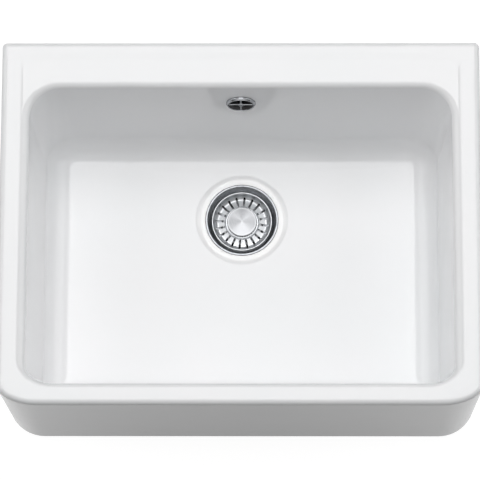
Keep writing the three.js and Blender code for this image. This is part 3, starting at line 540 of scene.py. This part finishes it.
def put(piece, matrix):
    """Moves a piece's mesh to its place; the matrix is in mm."""
    piece.data.transform(MILLIMETRES @ matrix @ MILLIMETRES.inverted())
    return piece


# ---------------- basin
HALF_SHARES = (0, 0.3, 0.6, 0.84, 0.97)
BESIDE_REAR, BESIDE_FRONT = (0, 0.5, 0.93), (0.05, 0.3, 0.6)
CORNER_STEPS = 14


def mirrored(points):
    """The points on the other side of the sink, in reverse order."""
    return [(-x, y, z) for x, y, z in reversed(points)]


def level_ring(side, front, rear, front_corner, rear_corner, z):
    """A level ring of the basin, a given way in from its outer faces, from beside the waste on."""
    right, back, fore = SINK_WIDTH / 2 - side, SINK_DEPTH / 2 - rear, front - SINK_DEPTH / 2
    width, depth = front_corner

    def run(a, b, shares):
        return [(a[0] + (b[0] - a[0]) * s, a[1] + (b[1] - a[1]) * s, z) for s in shares]

    def corner(x, y, wide, deep, start):
        angles = [start + math.pi / 2 * i / CORNER_STEPS for i in range(CORNER_STEPS + 1)]
        return [(x + wide * math.cos(a), y + deep * math.sin(a), z) for a in angles]

    rear_right = (run((right, WASTE_Y), (right, back - rear_corner), BESIDE_REAR)
                  + corner(right - rear_corner, back - rear_corner, rear_corner, rear_corner, 0)
                  + run((0, back), (right - rear_corner, back), HALF_SHARES)[::-1])
    front_right = (run((0, fore), (right - width, fore), HALF_SHARES)
                   + corner(right - width, fore + depth, width, depth, -math.pi / 2)
                   + run((right, fore + depth), (right, WASTE_Y), BESIDE_FRONT))
    return rear_right + mirrored(rear_right[:-1]) + mirrored(front_right) + front_right[1:]


def waste_ring(radius, z):
    """A round ring about the waste, paired point by point with the level rings."""
    rear = len(BESIDE_REAR) + CORNER_STEPS + len(HALF_SHARES)
    front = len(HALF_SHARES) + CORNER_STEPS + 1 + len(BESIDE_FRONT)
    quarters = [i / rear for i in range(2 * rear + 1)] + [2 + i / front for i in range(1, 2 * front)]
    return [(radius * math.cos(math.pi / 2 * q), WASTE_Y + radius * math.sin(math.pi / 2 * q), z)
            for q in quarters]


def between(a, b, shares):
    """Rings part of the way from one ring to another."""
    return [[tuple(Vector(p).lerp(Vector(q), s)) for p, q in zip(a, b)] for s in shares]


def arc(centre_r, centre_z, radius, start, end, steps):
    """Points along an arc between two angles in degrees."""
    angles = [math.radians(start + (end - start) * i / steps) for i in range(steps + 1)]
    return [(centre_r + radius * math.cos(a), centre_z + radius * math.sin(a)) for a in angles]


def outer_rings():
    """The outer faces: upright, with the apron's corners a quarter ellipse above and round at the foot."""
    heights = [BOTTOM_EDGE + 2, 25, 60, 110, 160, 195, SINK_HEIGHT - TOP_EDGE - 2]
    line = (arc(BOTTOM_EDGE, BOTTOM_EDGE, BOTTOM_EDGE, 270, 180, 8) + [(0, z) for z in heights]
            + arc(TOP_EDGE, SINK_HEIGHT - TOP_EDGE, TOP_EDGE, 180, 90, 8))

    def corner(inset, z):
        return [FRONT_CORNER_FOOT + (top - FRONT_CORNER_FOOT) * z / SINK_HEIGHT - inset
                for top in (FRONT_CORNER_WIDTH, FRONT_CORNER_DEPTH)]

    return [level_ring(inset, inset, inset, corner(inset, z), max(REAR_CORNER - inset, 1), z)
            for inset, z in line]


def rim_insets(z):
    """How far in the sides' and the apron's rims have reached at a height: both fall as quarter ellipses."""
    fall = (SINK_HEIGHT - max(z, WALL_TOP)) / (SINK_HEIGHT - WALL_TOP)
    return [rim - rounding * (1 - math.sqrt(1 - (1 - fall) ** 2))
            for rim, rounding in ((SIDE_RIM, SIDE_ROUNDING), (FRONT_RIM, FRONT_ROUNDING))]


def crown_rings():
    """The rear crown falls to the ledge in half a wave; the other three sides fall into the bowl's edge."""
    end_side, end_front = rim_insets(LEDGE)
    rings = []
    for share in [i / 9 for i in range(10)]:
        z = SINK_HEIGHT - CROWN_HEIGHT * (1 - math.cos(math.pi * share)) / 2
        side, front = rim_insets(z)
        corner = (FRONT_BOWL_WIDTH + BOWL_EDGE + end_side - side,
                  FRONT_BOWL_DEPTH + BOWL_EDGE + end_front - front)
        rings.append(level_ring(side, front, CROWN_REAR + CROWN_FALL_REAR * share, corner,
                                REAR_CORNER + CROWN_FALL_REAR * share, z))
    return rings


def bowl_ring(edge, fillet, z):
    """One ring of the bowl, a share of its edge out from the walls or of the fillets' reach in."""
    depth, wide = max(WALL_TOP - z, 0), FILLET_SIDE * fillet - BOWL_EDGE * edge
    side, front = rim_insets(z)
    return level_ring(
        side + SIDE_DRAFT * depth + FILLET_SIDE * fillet,
        front + FRONT_DRAFT * depth + FILLET_FRONT * fillet,
        REAR_LEDGE + REAR_DRAFT * depth - BOWL_EDGE * edge + FILLET_REAR * fillet,
        [max(reach - wide, FLOOR_CORNER) for reach in (FRONT_BOWL_WIDTH, FRONT_BOWL_DEPTH)],
        max(REAR_BOWL_CORNER - wide, FLOOR_CORNER), z)


def bowl_rings():
    """The bowl's rounded edge, its leaning walls and the wide fillets to the floor."""
    low = FLOOR_HEIGHT + FILLET_RISE
    heights = (WALL_TOP - 2, *(low + (WALL_TOP - low) * s for s in (0.8, 0.6, 0.4, 0.2)), low + 2)
    return ([bowl_ring(share, 0, WALL_TOP + BOWL_EDGE * rise) for share, rise in arc(1, 0, 1, 90, 180, 10)]
            + [bowl_ring(0, 0, z) for z in heights]
            + [bowl_ring(0, share, FLOOR_HEIGHT + FILLET_RISE * rise)
               for share, rise in arc(1, 1, 1, 180, 270, 14)])


def basin_shell():
    """The basin as one skin: from the waste hole's foot round the outside and down into the bowl."""
    top, nest, hole = FLOOR_HEIGHT - FLOOR_FALL, SEAT + NEST, COUNTERSINK
    recess = [(RECESS - RECESS_EDGE * s, top - (top - nest) * (1 - math.cos(math.pi * s)) / 2)
              for s in [i / 10 for i in range(11)]]
    # The cup's lip is nested in the recess: only its top 0.4 mm stands above the glaze round it.
    seat = [(RECESS - RECESS_EDGE - 1, nest), (hole + 2.2, nest), (hole + 1.6, nest - 0.1),
            (hole + 1.35, nest - 0.4), (hole + 1.3, SEAT + 0.1), (hole + 0.3, SEAT - 0.2),
            (hole - 0.3, SEAT - 0.8), (OUTLET + 0.3, SEAT - COUNTERSINK_DEPTH + 0.5),
            (OUTLET, SEAT - COUNTERSINK_DEPTH - 0.4), (OUTLET, UNDER_RECESS_DEPTH + 1.5)]
    foot = (arc(OUTLET + 1.5, UNDER_RECESS_DEPTH + 1.5, 1.5, 180, 270, 4)[1:]
            + arc(UNDER_RECESS - 3, UNDER_RECESS_DEPTH - 2, 2, 90, 0, 4)
            + [(UNDER_RECESS - 0.6, 1.6), (UNDER_RECESS, 0.7), (UNDER_RECESS + 0.8, 0.15),
               (UNDER_RECESS + 2, 0)])
    foot_rings = [waste_ring(r, z) for r, z in foot]
    outer, crown, bowl = outer_rings(), crown_rings(), bowl_rings()
    recess_rings = [waste_ring(r, z) for r, z in recess + seat]
    rings = (foot_rings + between(foot_rings[-1], outer[0], (0.1, 0.35, 0.65, 0.9)) + outer
             + between(outer[-1], crown[0], (0.25, 0.8)) + crown
             + between(crown[-1], bowl[0], (0.06, 0.5, 0.94)) + bowl
             + between(bowl[-1], recess_rings[0], (0.02, 0.12, 0.35, 0.65, 0.9, 0.98)) + recess_rings)
    return mesh_object("fireclay_basin", [p for ring in rings for p in ring],
                       ring_faces(len(rings[0]), len(rings), True))


def skin(name, rings):
    """A closed solid from rings of points, with flat ends."""
    count = len(rings[0])
    ends = [tuple(range(count)), tuple(range((len(rings) - 1) * count, len(rings) * count))]
    points = [p for ring in rings for p in ring]
    return mesh_object(name, points, ends + ring_faces(count, len(rings), False))


def pocket_cutters():
    """What is cut from behind for the overflow: the pocket, its two softened mouths and the bore."""
    half, beyond, top = SINK_WIDTH / 2 - POCKET_SIDE, SINK_DEPTH / 2 + 15, SINK_HEIGHT - LEDGE_THICKNESS
    inner, crest, mouth = 10, 14, 4

    def front(z):
        return OVERFLOW_Y + REAR_WALL / math.cos(DRAFT) + REAR_DRAFT * (z - OVERFLOW_Z)

    def plan(grow, z):
        side, fore = half + grow, front(z) - grow
        right = [(side, beyond, z)] + [
            (side - inner + r, fore + inner + y, z) for r, y in arc(0, 0, inner, 0, -90, 6)]
        return right + mirrored(right)

    def elevation(grow, y):
        right = [(half + grow, y, -8)] + [
            (half - crest + r, y, top - crest + h) for r, h in arc(0, 0, crest + grow, 0, 90, 6)]
        return right + mirrored(right)

    flare = [(mouth - mouth * math.cos(a), mouth * math.sin(a))
             for a in (math.pi / 2 * i / 6 for i in range(7))]
    main = skin("pocket_cutter", [plan(0, -5)] + [
        plan(r - crest, z) for r, z in arc(0, top - crest, crest, 0, 88, 8)])
    rear = SINK_DEPTH / 2
    behind = skin("pocket_mouth_cutter", [elevation(-0.5, rear - mouth - 1)] + [
        elevation(out + 0.01, rear - mouth + along) for out, along in flare] + [elevation(mouth, rear + 8)])
    below = skin("pocket_foot_cutter", [plan(-0.5, mouth + 1)] + [
        plan(out + 0.01, mouth - along) for out, along in flare] + [plan(mouth, -7)])
    return [main, behind, below, cylinder("bore_cutter", OVERFLOW_BORE, -20, 45, OVERFLOW, 64)]


basin = combine(basin_shell(), pocket_cutters())
finish_piece(basin, "basin", FIRECLAY)

# ---------------- waste, about its own upright axis
SLOPE = (LIP - LIP_WIDTH - CUP) / CONE_FALL
cup = lathe("strainer_cup_pressing", [
    (LIP, LIP_TOP - SHEET, 0.1), (LIP, LIP_TOP, 0.55), (LIP - LIP_WIDTH, LIP_TOP, 0.7),
    (CUP, CONE_LOW, 1.5), (CUP, CUP_FLOOR, 4), (BOLT_HOLE, CUP_FLOOR), (BOLT_HOLE, CUP_FLOOR - SHEET),
    (CUP + SHEET, CUP_FLOOR - SHEET, 5), (CUP + SHEET, CONE_LOW - SHEET * SLOPE / 2, 2),
    (CUP + SHEET + (CONE_FALL - SHEET) * SLOPE, LIP_TOP - SHEET, 0.3)], STAND, 128, 6)
repeat_round(cup, SLOTS, CUP_STEEL, CUP_HOLES, inner_radius=HOLE_CIRCLE - HOLE / 2,
             outer_radius=HOLE_CIRCLE + HOLE / 2, width=HOLE, low=CUP_FLOOR - 3, high=CUP_FLOOR + 2)
finish_piece(put(cup, WASTE), "strainer_cup", CUP_STEEL)

# The rubber under the lip has a skirt that reaches down into the countersink.
cup_seal = lathe("cup_seal_ring", [
    (LIP - 0.3, SEAT, 0.2), (LIP - 0.3, SEAT + 0.8, 0.2), (COUNTERSINK - 0.8, SEAT + 0.8, 0.1),
    (COUNTERSINK - 0.9, SEAT - 0.3, 0.1), (COUNTERSINK - 0.3, SEAT, 0.1)], WASTE)
finish_piece(cup_seal, "cup_seal", RUBBER)
gasket = flat_ring("lower_gasket_ring", OUTLET + 1, 48.2, 1.5, UNDER_RECESS_DEPTH, (0.5, 0.5), WASTE)
finish_piece(gasket, "lower_gasket", RUBBER)


def waste_housing():
    """The moulded body under the basin: flange, gussets, funnel, threaded tail, inlet and bolt spider."""
    flange, under, bore, shoulder, funnel, funnel_low = 48.5, -2.5, 41, -34, 37.5, -63
    core = TAIL - 1.3
    body = lathe("waste_housing", [
        (flange, 1.5, 0.8), (flange, under, 0.8), (44, under, 1), (44, shoulder, 4), (40.5, -66, 6),
        (34, -76, 4), (TAIL, -84, 5), (TAIL, TAIL_ROOT, 0.6), (core, TAIL_ROOT - 1, 0.6),
        (core, TAIL_END + 1.5, 0.3), (22.2, TAIL_END, 0.4), (20.9, TAIL_END, 0.4), (20.9, -81, 4),
        (31, -74.5, 4), (funnel, funnel_low, 5), (bore, shoulder, 4), (bore, 1.5, 0.4)], STAND, 120, 5)
    level = Matrix.Translation((0, 0, INLET_Z)) @ LAID
    collar = turned("inlet_collar", [
        (0, 36.5), (COLLAR, 36.5), (COLLAR, 53.2), (COLLAR - 0.5, 53.7), (0, 53.7)], level)
    hollow = turned("housing_hollow", [
        (0, shoulder), (bore, shoulder), (funnel, funnel_low), (0, funnel_low)], STAND, 120)
    combine(collar, [hollow])
    boss, top, deep = 8.5, CUP_FLOOR - SHEET - 1.8, 22
    hub = turned("bolt_boss", [(0, top - deep), (boss - 0.5, top - deep), (boss, top - deep + 0.5),
                               (boss, top - 0.5), (boss - 0.5, top), (0, top)])
    reach, thick, tall = 42.5, 2.6, 15.4
    webs = [block(f"bolt_web_{i}", (reach, thick, tall), (reach / 2, 0, top - deep + tall / 2),
                  Matrix.Rotation(math.pi / 6 + math.tau * i / 3, 4, "Z")) for i in range(3)]
    combine(body, [collar, hub, *webs], "UNION")
    combine(body, [cylinder("inlet_bore", HOSE_BORE, 25, 58, level, 40),
                   cylinder("bolt_bore", BOLT_HOLE, top - deep - 2, top + 2)])
    # Moulded gussets brace the flange to the body.
    repeat_round(body, RIBS, WHITE_PLASTIC, FLANGE_RIBS, math.radians(15), radius=flange - 0.5, reach=5.5,
                 width=2.2, low=-14, high=-1.6)
    return put(body, WASTE)


finish_piece(waste_housing(), "waste_body", WHITE_PLASTIC)
tail_thread = threaded("tail_thread", TAIL, 1.1, 2.3, TAIL_END + 1.2, TAIL_ROOT - 0.5, 22.4, WASTE)
finish_piece(tail_thread, None, WHITE_PLASTIC, sharp=60)

head_top, bolt_end = BOLT_LOW + BOLT_HEAD, BOLT_LOW - BOLT_LENGTH
bolt = lathe("clamp_bolt_head", [
    (3.9, head_top, 0.4), (9, head_top, 0.8), (9, BOLT_LOW, 0.3), (4.4, BOLT_LOW), (4.4, bolt_end, 0.3),
    (3.9, bolt_end, 0.3)], STAND, 64)
combine(bolt, [block("driver_slot", (24, 1.5, 3), (0, 0, head_top), STAND)])
finish_piece(put(bolt, WASTE), "clamp_bolt", BRASS)
bolt_thread = threaded("clamp_bolt_thread", 5, 0.6, 1.25, bolt_end + 0.4, BOLT_LOW - 0.1, 4.3, WASTE, 40)
finish_piece(bolt_thread, None, BRASS, sharp=60)
washer = flat_ring("bolt_washer_ring", BOLT_HOLE, 10, CUP_FLOOR, BOLT_LOW, (0.2, 0.3), WASTE, 64)
finish_piece(washer, "bolt_washer", GREY_PLASTIC)

# Basket: a rolled rim, a bowl-shaped dish whose slots run up its wall, and the flat under the knob.
RIM, ROLL, PRESSED = CUP - 0.4, 0.7, 0.9
basket = lathe("slotted_basket", [
    (RIM, CONE_LOW - ROLL, 0.1), (RIM, CONE_LOW, 0.5), (RIM - ROLL * 2, CONE_LOW, 0.8),
    (36, DISH_LOW + 3.4, 5), (DISH, DISH_LOW, 3), (SLOT_START, DISH_LOW + 2.2, 1.4), (20.9, PLATEAU, 0.6),
    (STEM_HOLE, PLATEAU), (STEM_HOLE, PLATEAU - PRESSED), (20.6, PLATEAU - PRESSED, 0.8),
    (22, DISH_LOW + 1.3, 1.2), (DISH + 0.3, DISH_LOW - PRESSED, 3.8), (36.8, DISH_LOW + 3, 5.6),
    (RIM - ROLL, CONE_LOW - ROLL, 0.2)], STAND, 160, 8)
repeat_round(basket, SLOTS, BASKET_STEEL, SLOTS_IN_RING, math.pi / 2 - SLOT_TURN, inner_radius=SLOT_START,
             outer_radius=SLOT_END, width=SLOT_WIDTH, low=DISH_LOW - 4, high=DISH_LOW + 7)
finish_piece(put(basket, WASTE), "basket", BASKET_STEEL, body="basket")

# The knob's top is a shallow cone, so that its flanks turn towards the lamps and away in four fans.
flank = [(0.4 + 17.6 * i / 12, KNOB_TOP + KNOB_CROWN - KNOB_FALL * i / 12) for i in range(13)]
knob = turned("turned_knob", (
    [(0, KNOB_TOP + KNOB_CROWN + 0.03)] + flank + arc(KNOB - 0.9, KNOB_TOP - 1.5, 0.9, 82, 0, 6)
    + arc(KNOB - 0.8, KNOB_LOW + 0.8, 0.8, 0, -90, 5)
    + [(8.6, KNOB_LOW), (8, KNOB_LOW - 0.5), (8, PLATEAU), (STEM_HOLE, PLATEAU),
       (STEM_HOLE, KNOB_TOP - 1.6), (0, KNOB_TOP - 1.6)]), WASTE, 144)
finish_piece(knob, "knob", KNOB_STEEL, body="basket")

# Stopper: stem, plate, seal and the two clips that hold them.
collar_top, collar_low, ridge, clip_low = PLATEAU - 1.2, PLATEAU - 1.2 - 1.5, PLATE_TOP + 0.3, CLIP_TOP - 10
stem = lathe("stopper_stem", [
    (0, KNOB_LOW + 2), (3, KNOB_LOW + 2, 0.3), (3, collar_top), (7, collar_top, 0.4), (7, collar_low, 0.4),
    (3, collar_low), (3, PLATE_TOP + 1.8), (5, PLATE_TOP + 1.8, 0.3), (5, ridge, 0.3), (3, ridge),
    (3, CLIP_TOP + 0.3), (2.2, CLIP_TOP + 0.3), (2.2, clip_low - 0.3), (3.3, clip_low - 0.3, 0.2),
    (2.2, clip_low - 2.3, 0.5), (0, clip_low - 2.3)], WASTE, 56)
finish_piece(stem, "basket_stem", STEM_STEEL, body="stopper")
clip = flat_ring("split_clip", 2.5, 3.6, clip_low, CLIP_TOP, (0.2, 0.3), STAND, 48)
combine(clip, [block(f"clip_slit_{i}", (12, 1, 14), (0, 0, clip_low),
                     Matrix.Rotation(math.pi / 2 * i, 4, "Z")) for i in range(2)])
finish_piece(put(clip, WASTE), "stem_clip", WHITE_PLASTIC, body="stopper")
plate = lathe("stopper_disc", [
    (STEM_HOLE, PLATE_TOP - 1.5), (26, PLATE_TOP - 1.5, 0.3), (26, PLATE_TOP - 0.6, 0.4),
    (25, PLATE_TOP, 0.6), (STEM_HOLE, PLATE_TOP)], WASTE)
finish_piece(plate, "stopper_plate", BASKET_STEEL, body="stopper")
seal_low, seal_top = CUP_FLOOR + 0.3, CUP_FLOOR + 5.2
seal = lathe("stopper_gasket", [
    (12, seal_low + 1.5, 0.4), (24, seal_low + 1.5, 1), (25.5, seal_low, 0.4), (27, seal_low, 0.6),
    (27, seal_top, 0.7), (12, seal_top, 0.4)], WASTE)
finish_piece(seal, "stopper_seal", RUBBER, body="stopper")
circlip = flat_ring("stem_retaining_ring", STEM_HOLE, 5, CUP_FLOOR + 4.3, CUP_FLOOR + 4.9, (0.1, 0.15),
                    STAND, 40)
combine(circlip, [block("ring_gap", (6, 2.4, 4), (3, 0, CUP_FLOOR + 4.6), STAND)])
finish_piece(put(circlip, WASTE), "stem_circlip", STEM_STEEL, body="stopper")

# ---------------- overflow, about its own level axis
rosette = lathe("overflow_ring", [
    (ROSETTE, -0.3, 0.1), (16.1, -0.3, 0.1), (15.7, FACE + 0.6, 0.3), (16.2, FACE, 0.3), (16.9, FACE, 0.5),
    (ROSETTE, FACE + 2.4, 1.8)], STAND, 128, 6)
# A black lining, painted shade, lines the hole behind the ring: a short funnel, then a sleeve.
throat = lathe("overflow_shade_lining", [
    (15.75, FACE + 1.6, 0.2), (16, -0.35, 0.2), (13.7, -0.3, 0.1), (13.7, 8, 0.2), (12.8, 8, 0.2),
    (12.8, -0.5, 0.8), (15.1, FACE + 1.6, 0.2)], STAND)
finish_piece(put(throat, OVERFLOW), None, PAINTED_SHADE_BLACK)
bars = [block(f"cross_bar_{i}", (32, 2, 2.4), (0, 0, FACE + 2.3), Matrix.Rotation(math.pi / 2 * i, 4, "Z"),
              0.5) for i in range(2)]
hub = turned("cross_hub", [
    (0, FACE + 3.6), (4.2, FACE + 3.6), (4.2, FACE + 1.0), (3.7, FACE + 0.5), (0, FACE + 0.5)])
combine(rosette, bars + [hub], "UNION")
screw_hole = turned("screw_hole", [
    (0, FACE - 1), (3.7, FACE - 1), (3.7, FACE + 0.8), (2.5, FACE + 2.4), (2.5, 8), (0, 8)])
combine(rosette, [screw_hole])
finish_piece(put(rosette, OVERFLOW), "overflow_rosette", CHROME)

tip = ELBOW_BACK - 2.9
screw = turned("overflow_screw_shaft", [
    (0, FACE + 0.4), (2.4, FACE + 0.45), (3.1, FACE + 0.6), (3.4, FACE + 0.8), (2.2, FACE + 2.1),
    (2.2, tip - 1.1), (1.1, tip), (0, tip)])
combine(screw, [block("screw_driver_slot", (12, 1.1, 1.6), (0, 0, FACE + 0.5), STAND)])
finish_piece(put(screw, OVERFLOW), "overflow_screw", CHROME)
overflow_gasket = flat_ring("overflow_gasket_ring", 15, 20.5, REAR_WALL + 0.3, ELBOW_FRONT, (0.4, 0.4),
                            OVERFLOW, 80)
finish_piece(overflow_gasket, "overflow_gasket", RUBBER)


def elbow_piece():
    """The moulded elbow behind the basin: a flanged cap with a hose collar below it."""
    front, back, chamber, foot, edge = ELBOW_FRONT, ELBOW_BACK, ELBOW_CHAMBER, -COLLAR_DROP, 3.9
    down = Matrix.Translation((0, ELBOW_AXIS, 0))
    cap = turned("overflow_elbow_moulding", [
        (0, front), (20.5, front), (21, front + 0.5), (21, front + 2.5), (20.5, front + 3),
        (18.2, front + 3), (17.5, front + 3.7)]
        + arc(17.5 - edge, back - edge, edge, 0, 90, 6) + [(0, back)], LAID, 96)
    collar = turned("elbow_collar", [
        (0, foot), (COLLAR - 0.5, foot), (COLLAR, foot + 0.5), (COLLAR, -12), (0, -12)], down)
    combine(cap, [collar], "UNION")
    hollow = lathe("elbow_chamber", [
        (5, front + 9), (chamber, front + 9), (chamber, back - 2.6), (5, back - 2.6)], LAID, 64)
    combine(cap, [
        hollow, cylinder("elbow_mouth", chamber, front - 1, front + 9.01, LAID, 64),
        cylinder("elbow_screw_bore", 2.5, front, back - 2.7, LAID, 32),
        cylinder("elbow_outlet", HOSE_BORE, foot - 1, -6, down)])
    return put(cap, LEANING)


finish_piece(elbow_piece(), "overflow_elbow", WHITE_PLASTIC)

# ---------------- hose, washers and nuts
def nut_piece(name):
    """A ribbed union nut standing on the Z axis, with its wide bore at the top."""
    nut = lathe(name, [
        (10.3, 0, 0.3), (NUT - 0.6, 0, 0.6), (NUT, 0.9, 0.5), (NUT, NUT_HEIGHT - 0.9, 0.5),
        (NUT - 0.6, NUT_HEIGHT, 0.6), (11.3, NUT_HEIGHT, 0.3), (11.3, 7.2, 0.2), (10.3, 6.2, 0.2)],
        STAND, 72, 3)
    return repeat_round(nut, RIBS, WHITE_PLASTIC, NUT_RIBS, radius=NUT + 0.8, reach=2.3, width=2.6, low=1.4,
                        high=NUT_HEIGHT - 1.4)


upper_end = LEANING @ Matrix.Translation((0, ELBOW_AXIS, -COLLAR_DROP))
lower_end = (Matrix.Translation((0, WASTE_Y + INLET_REACH, INLET_Z)) @ Matrix.Rotation(math.pi / 2, 4, "X"))
NUT_LOW = Matrix.Translation((0, 0, WASHER - 9))
UPPER_WASHER = Matrix.Translation((0, 0, -WASHER))
ends = (("upper", upper_end @ UPPER_WASHER), ("lower", lower_end))
for end, matrix in ends:
    finish_piece(put(nut_piece(f"{end}_union_nut"), matrix @ NUT_LOW), f"{end}_hose_nut", WHITE_PLASTIC,
                 sharp=50)
for end, matrix in ends:
    washer = flat_ring(f"{end}_washer_ring", HOSE_BORE, 10, 0, WASHER, (0.3, 0.4), STAND, 64)
    finish_piece(put(washer, matrix), f"{end}_hose_washer", RUBBER)


def hose_route():
    """The hose's middle: down along the rear wall, round under the basin and level to the waste body."""
    down = Vector((0, -math.sin(DRAFT), -math.cos(DRAFT)))
    start = upper_end @ Vector((0, 0, -WASHER))
    turn = math.pi / 2 - DRAFT
    knee = start + down * ((INLET_Z - start.z) / down.z)
    tangent = HOSE_BEND * math.tan(turn / 2)
    bend = knee - down * tangent
    end = Vector((0, WASTE_Y + INLET_REACH, INLET_Z))
    centre = Vector((0, knee.y - tangent, INLET_Z + HOSE_BEND))
    points = [start.lerp(bend, i / 40) for i in range(40)]
    for i in range(61):
        angle = DRAFT + turn * i / 60
        points.append(centre + HOSE_BEND * Vector((0, math.cos(angle), -math.sin(angle))))
    level = Vector((0, knee.y - tangent, INLET_Z))
    return points + [level.lerp(end, i / 6) for i in range(1, 7)]


def hose_piece():
    """The hose's route as a curve, skinned by its tree."""
    curve = bpy.data.curves.new("hose_path", "CURVE")
    curve.dimensions = "3D"
    path = hose_route()
    spline = curve.splines.new("POLY")
    spline.points.add(len(path) - 1)
    for point, place in zip(spline.points, path):
        point.co = (*(place / 1000), 1)
    guide = new_object("hose_path", curve)
    add_tree(guide, HOSE, {"Radius": 0.010, "Rib Depth": 0.0014, "Rib Pitch": 0.0036, "Cuff": 0.012,
                           "Step": 0.00036, "Material": GREY_PLASTIC})
    mesh = bpy.data.meshes.new_from_object(guide.evaluated_get(bpy.context.evaluated_depsgraph_get()))
    bpy.data.objects.remove(guide)
    return new_object("ribbed_overflow_hose", mesh)


finish_piece(hose_piece(), "overflow_hose", GREY_PLASTIC, sharp=60)

# ---------------- floor, light and camera
scene = bpy.context.scene
scene.view_settings.view_transform = "Standard"


def seen_strength(tree, plain, in_mirrors):
    """A strength for what the eye sees, directly or through glass, and another for what mirrors show."""
    path = add(tree, "ShaderNodeLightPath").outputs
    seen = maths(tree, path["Is Camera Ray"], path["Is Transmission Ray"], "MAXIMUM")
    reflected = maths(tree, path["Is Glossy Ray"], in_mirrors, "MULTIPLY")
    return maths(tree, maths(tree, seen, plain, "MULTIPLY"), reflected, "MAXIMUM")


world = bpy.data.worlds.new("studio")
scene.world = world
world.use_nodes = True
sky = world.node_tree
sky.nodes.clear()
ROOM_LIGHT, ROOM_SIDES = 0.12, 0.2
way = add(sky, "ShaderNodeSeparateXYZ", {"Vector": add(sky, "ShaderNodeTexCoord").outputs["Generated"]})
aside = maths(sky, way.outputs["X"], operation="ABSOLUTE")
# The eye sees a white room; in mirrors its two side walls are darker than the rest.
room_seen = seen_strength(sky, 1.0, spread(sky, aside, 0.3, 0.8, 1, ROOM_SIDES))
room = add(sky, "ShaderNodeBackground", {
    "Color": colour("#FFFFFF"), "Strength": maths(sky, room_seen, ROOM_LIGHT, "MAXIMUM")})
add(sky, "ShaderNodeOutputWorld", {"Surface": room.outputs[0]})

paper = bpy.data.materials.new("white_paper_floor")
paper.use_nodes = True
sheet_tree = paper.node_tree
sheet_tree.nodes.clear()
matt = add(sheet_tree, "ShaderNodeBsdfDiffuse", {"Color": colour("#7C7C7C")})
# Mirrors show the white paper too, with the soft shadow that the sink casts on it close by.
PAPER_GLOW, SHADOWED_GLOW = 0.94, 0.32
openness = add(sheet_tree, "ShaderNodeAmbientOcclusion", {"Distance": 0.6}).outputs["AO"]
glow = add(sheet_tree, "ShaderNodeEmission", {
    "Color": colour("#FFFFFF"), "Strength": seen_strength(
        sheet_tree, PAPER_GLOW, spread(sheet_tree, openness, 0.4, 0.9, SHADOWED_GLOW, PAPER_GLOW))})
lit = add(sheet_tree, "ShaderNodeAddShader", {0: matt.outputs[0], 1: glow.outputs[0]})
add(sheet_tree, "ShaderNodeOutputMaterial", {"Surface": lit.outputs[0]})
floor_mesh = bpy.data.meshes.new("paper_floor")
FLOOR_REACH = 40
floor_mesh.from_pydata([(x * FLOOR_REACH, y * FLOOR_REACH, TAIL_END / 1000)
                        for x, y in ((-1, -1), (1, -1), (1, 1), (-1, 1))], [], [(0, 1, 2, 3)])
floor_mesh.materials.append(paper)
new_object("paper_floor", floor_mesh)


def lamp(name, place, size, power):
    """A soft lamp that faces the sink, with its width and length in metres and its power in watts."""
    light = bpy.data.lights.new(name, "AREA")
    light.shape, light.energy = "RECTANGLE", power
    light.size, light.size_y = size
    holder = new_object(name, light)
    holder.location = place
    holder.rotation_euler = (Vector(SINK_MIDDLE) - Vector(place)).to_track_quat("-Z", "Y").to_euler()
    holder.visible_camera = False


SINK_MIDDLE = (0, 0, 0.1)
lamp("overhead_softbox", (0, 0.65, 3.6), (1.9, 3.0), 59)
lamp("left_softbox", (-3.2, 0.3, 2.2), (3, 3), 45)
lamp("right_softbox", (3.2, 0.3, 2.2), (3, 3), 45)

# The photo's own view: place and lens solved from the outline, and a long way off, as there.
camera_data = bpy.data.cameras.new("camera")
camera_data.sensor_width = 36
camera_data.lens = 240.3
camera = new_object("camera", camera_data)
camera.location = (0.046, -0.970, 4.040)
camera.rotation_euler = [math.radians(a) for a in (13.8998, 0.650, 0.161)]
scene.camera = camera
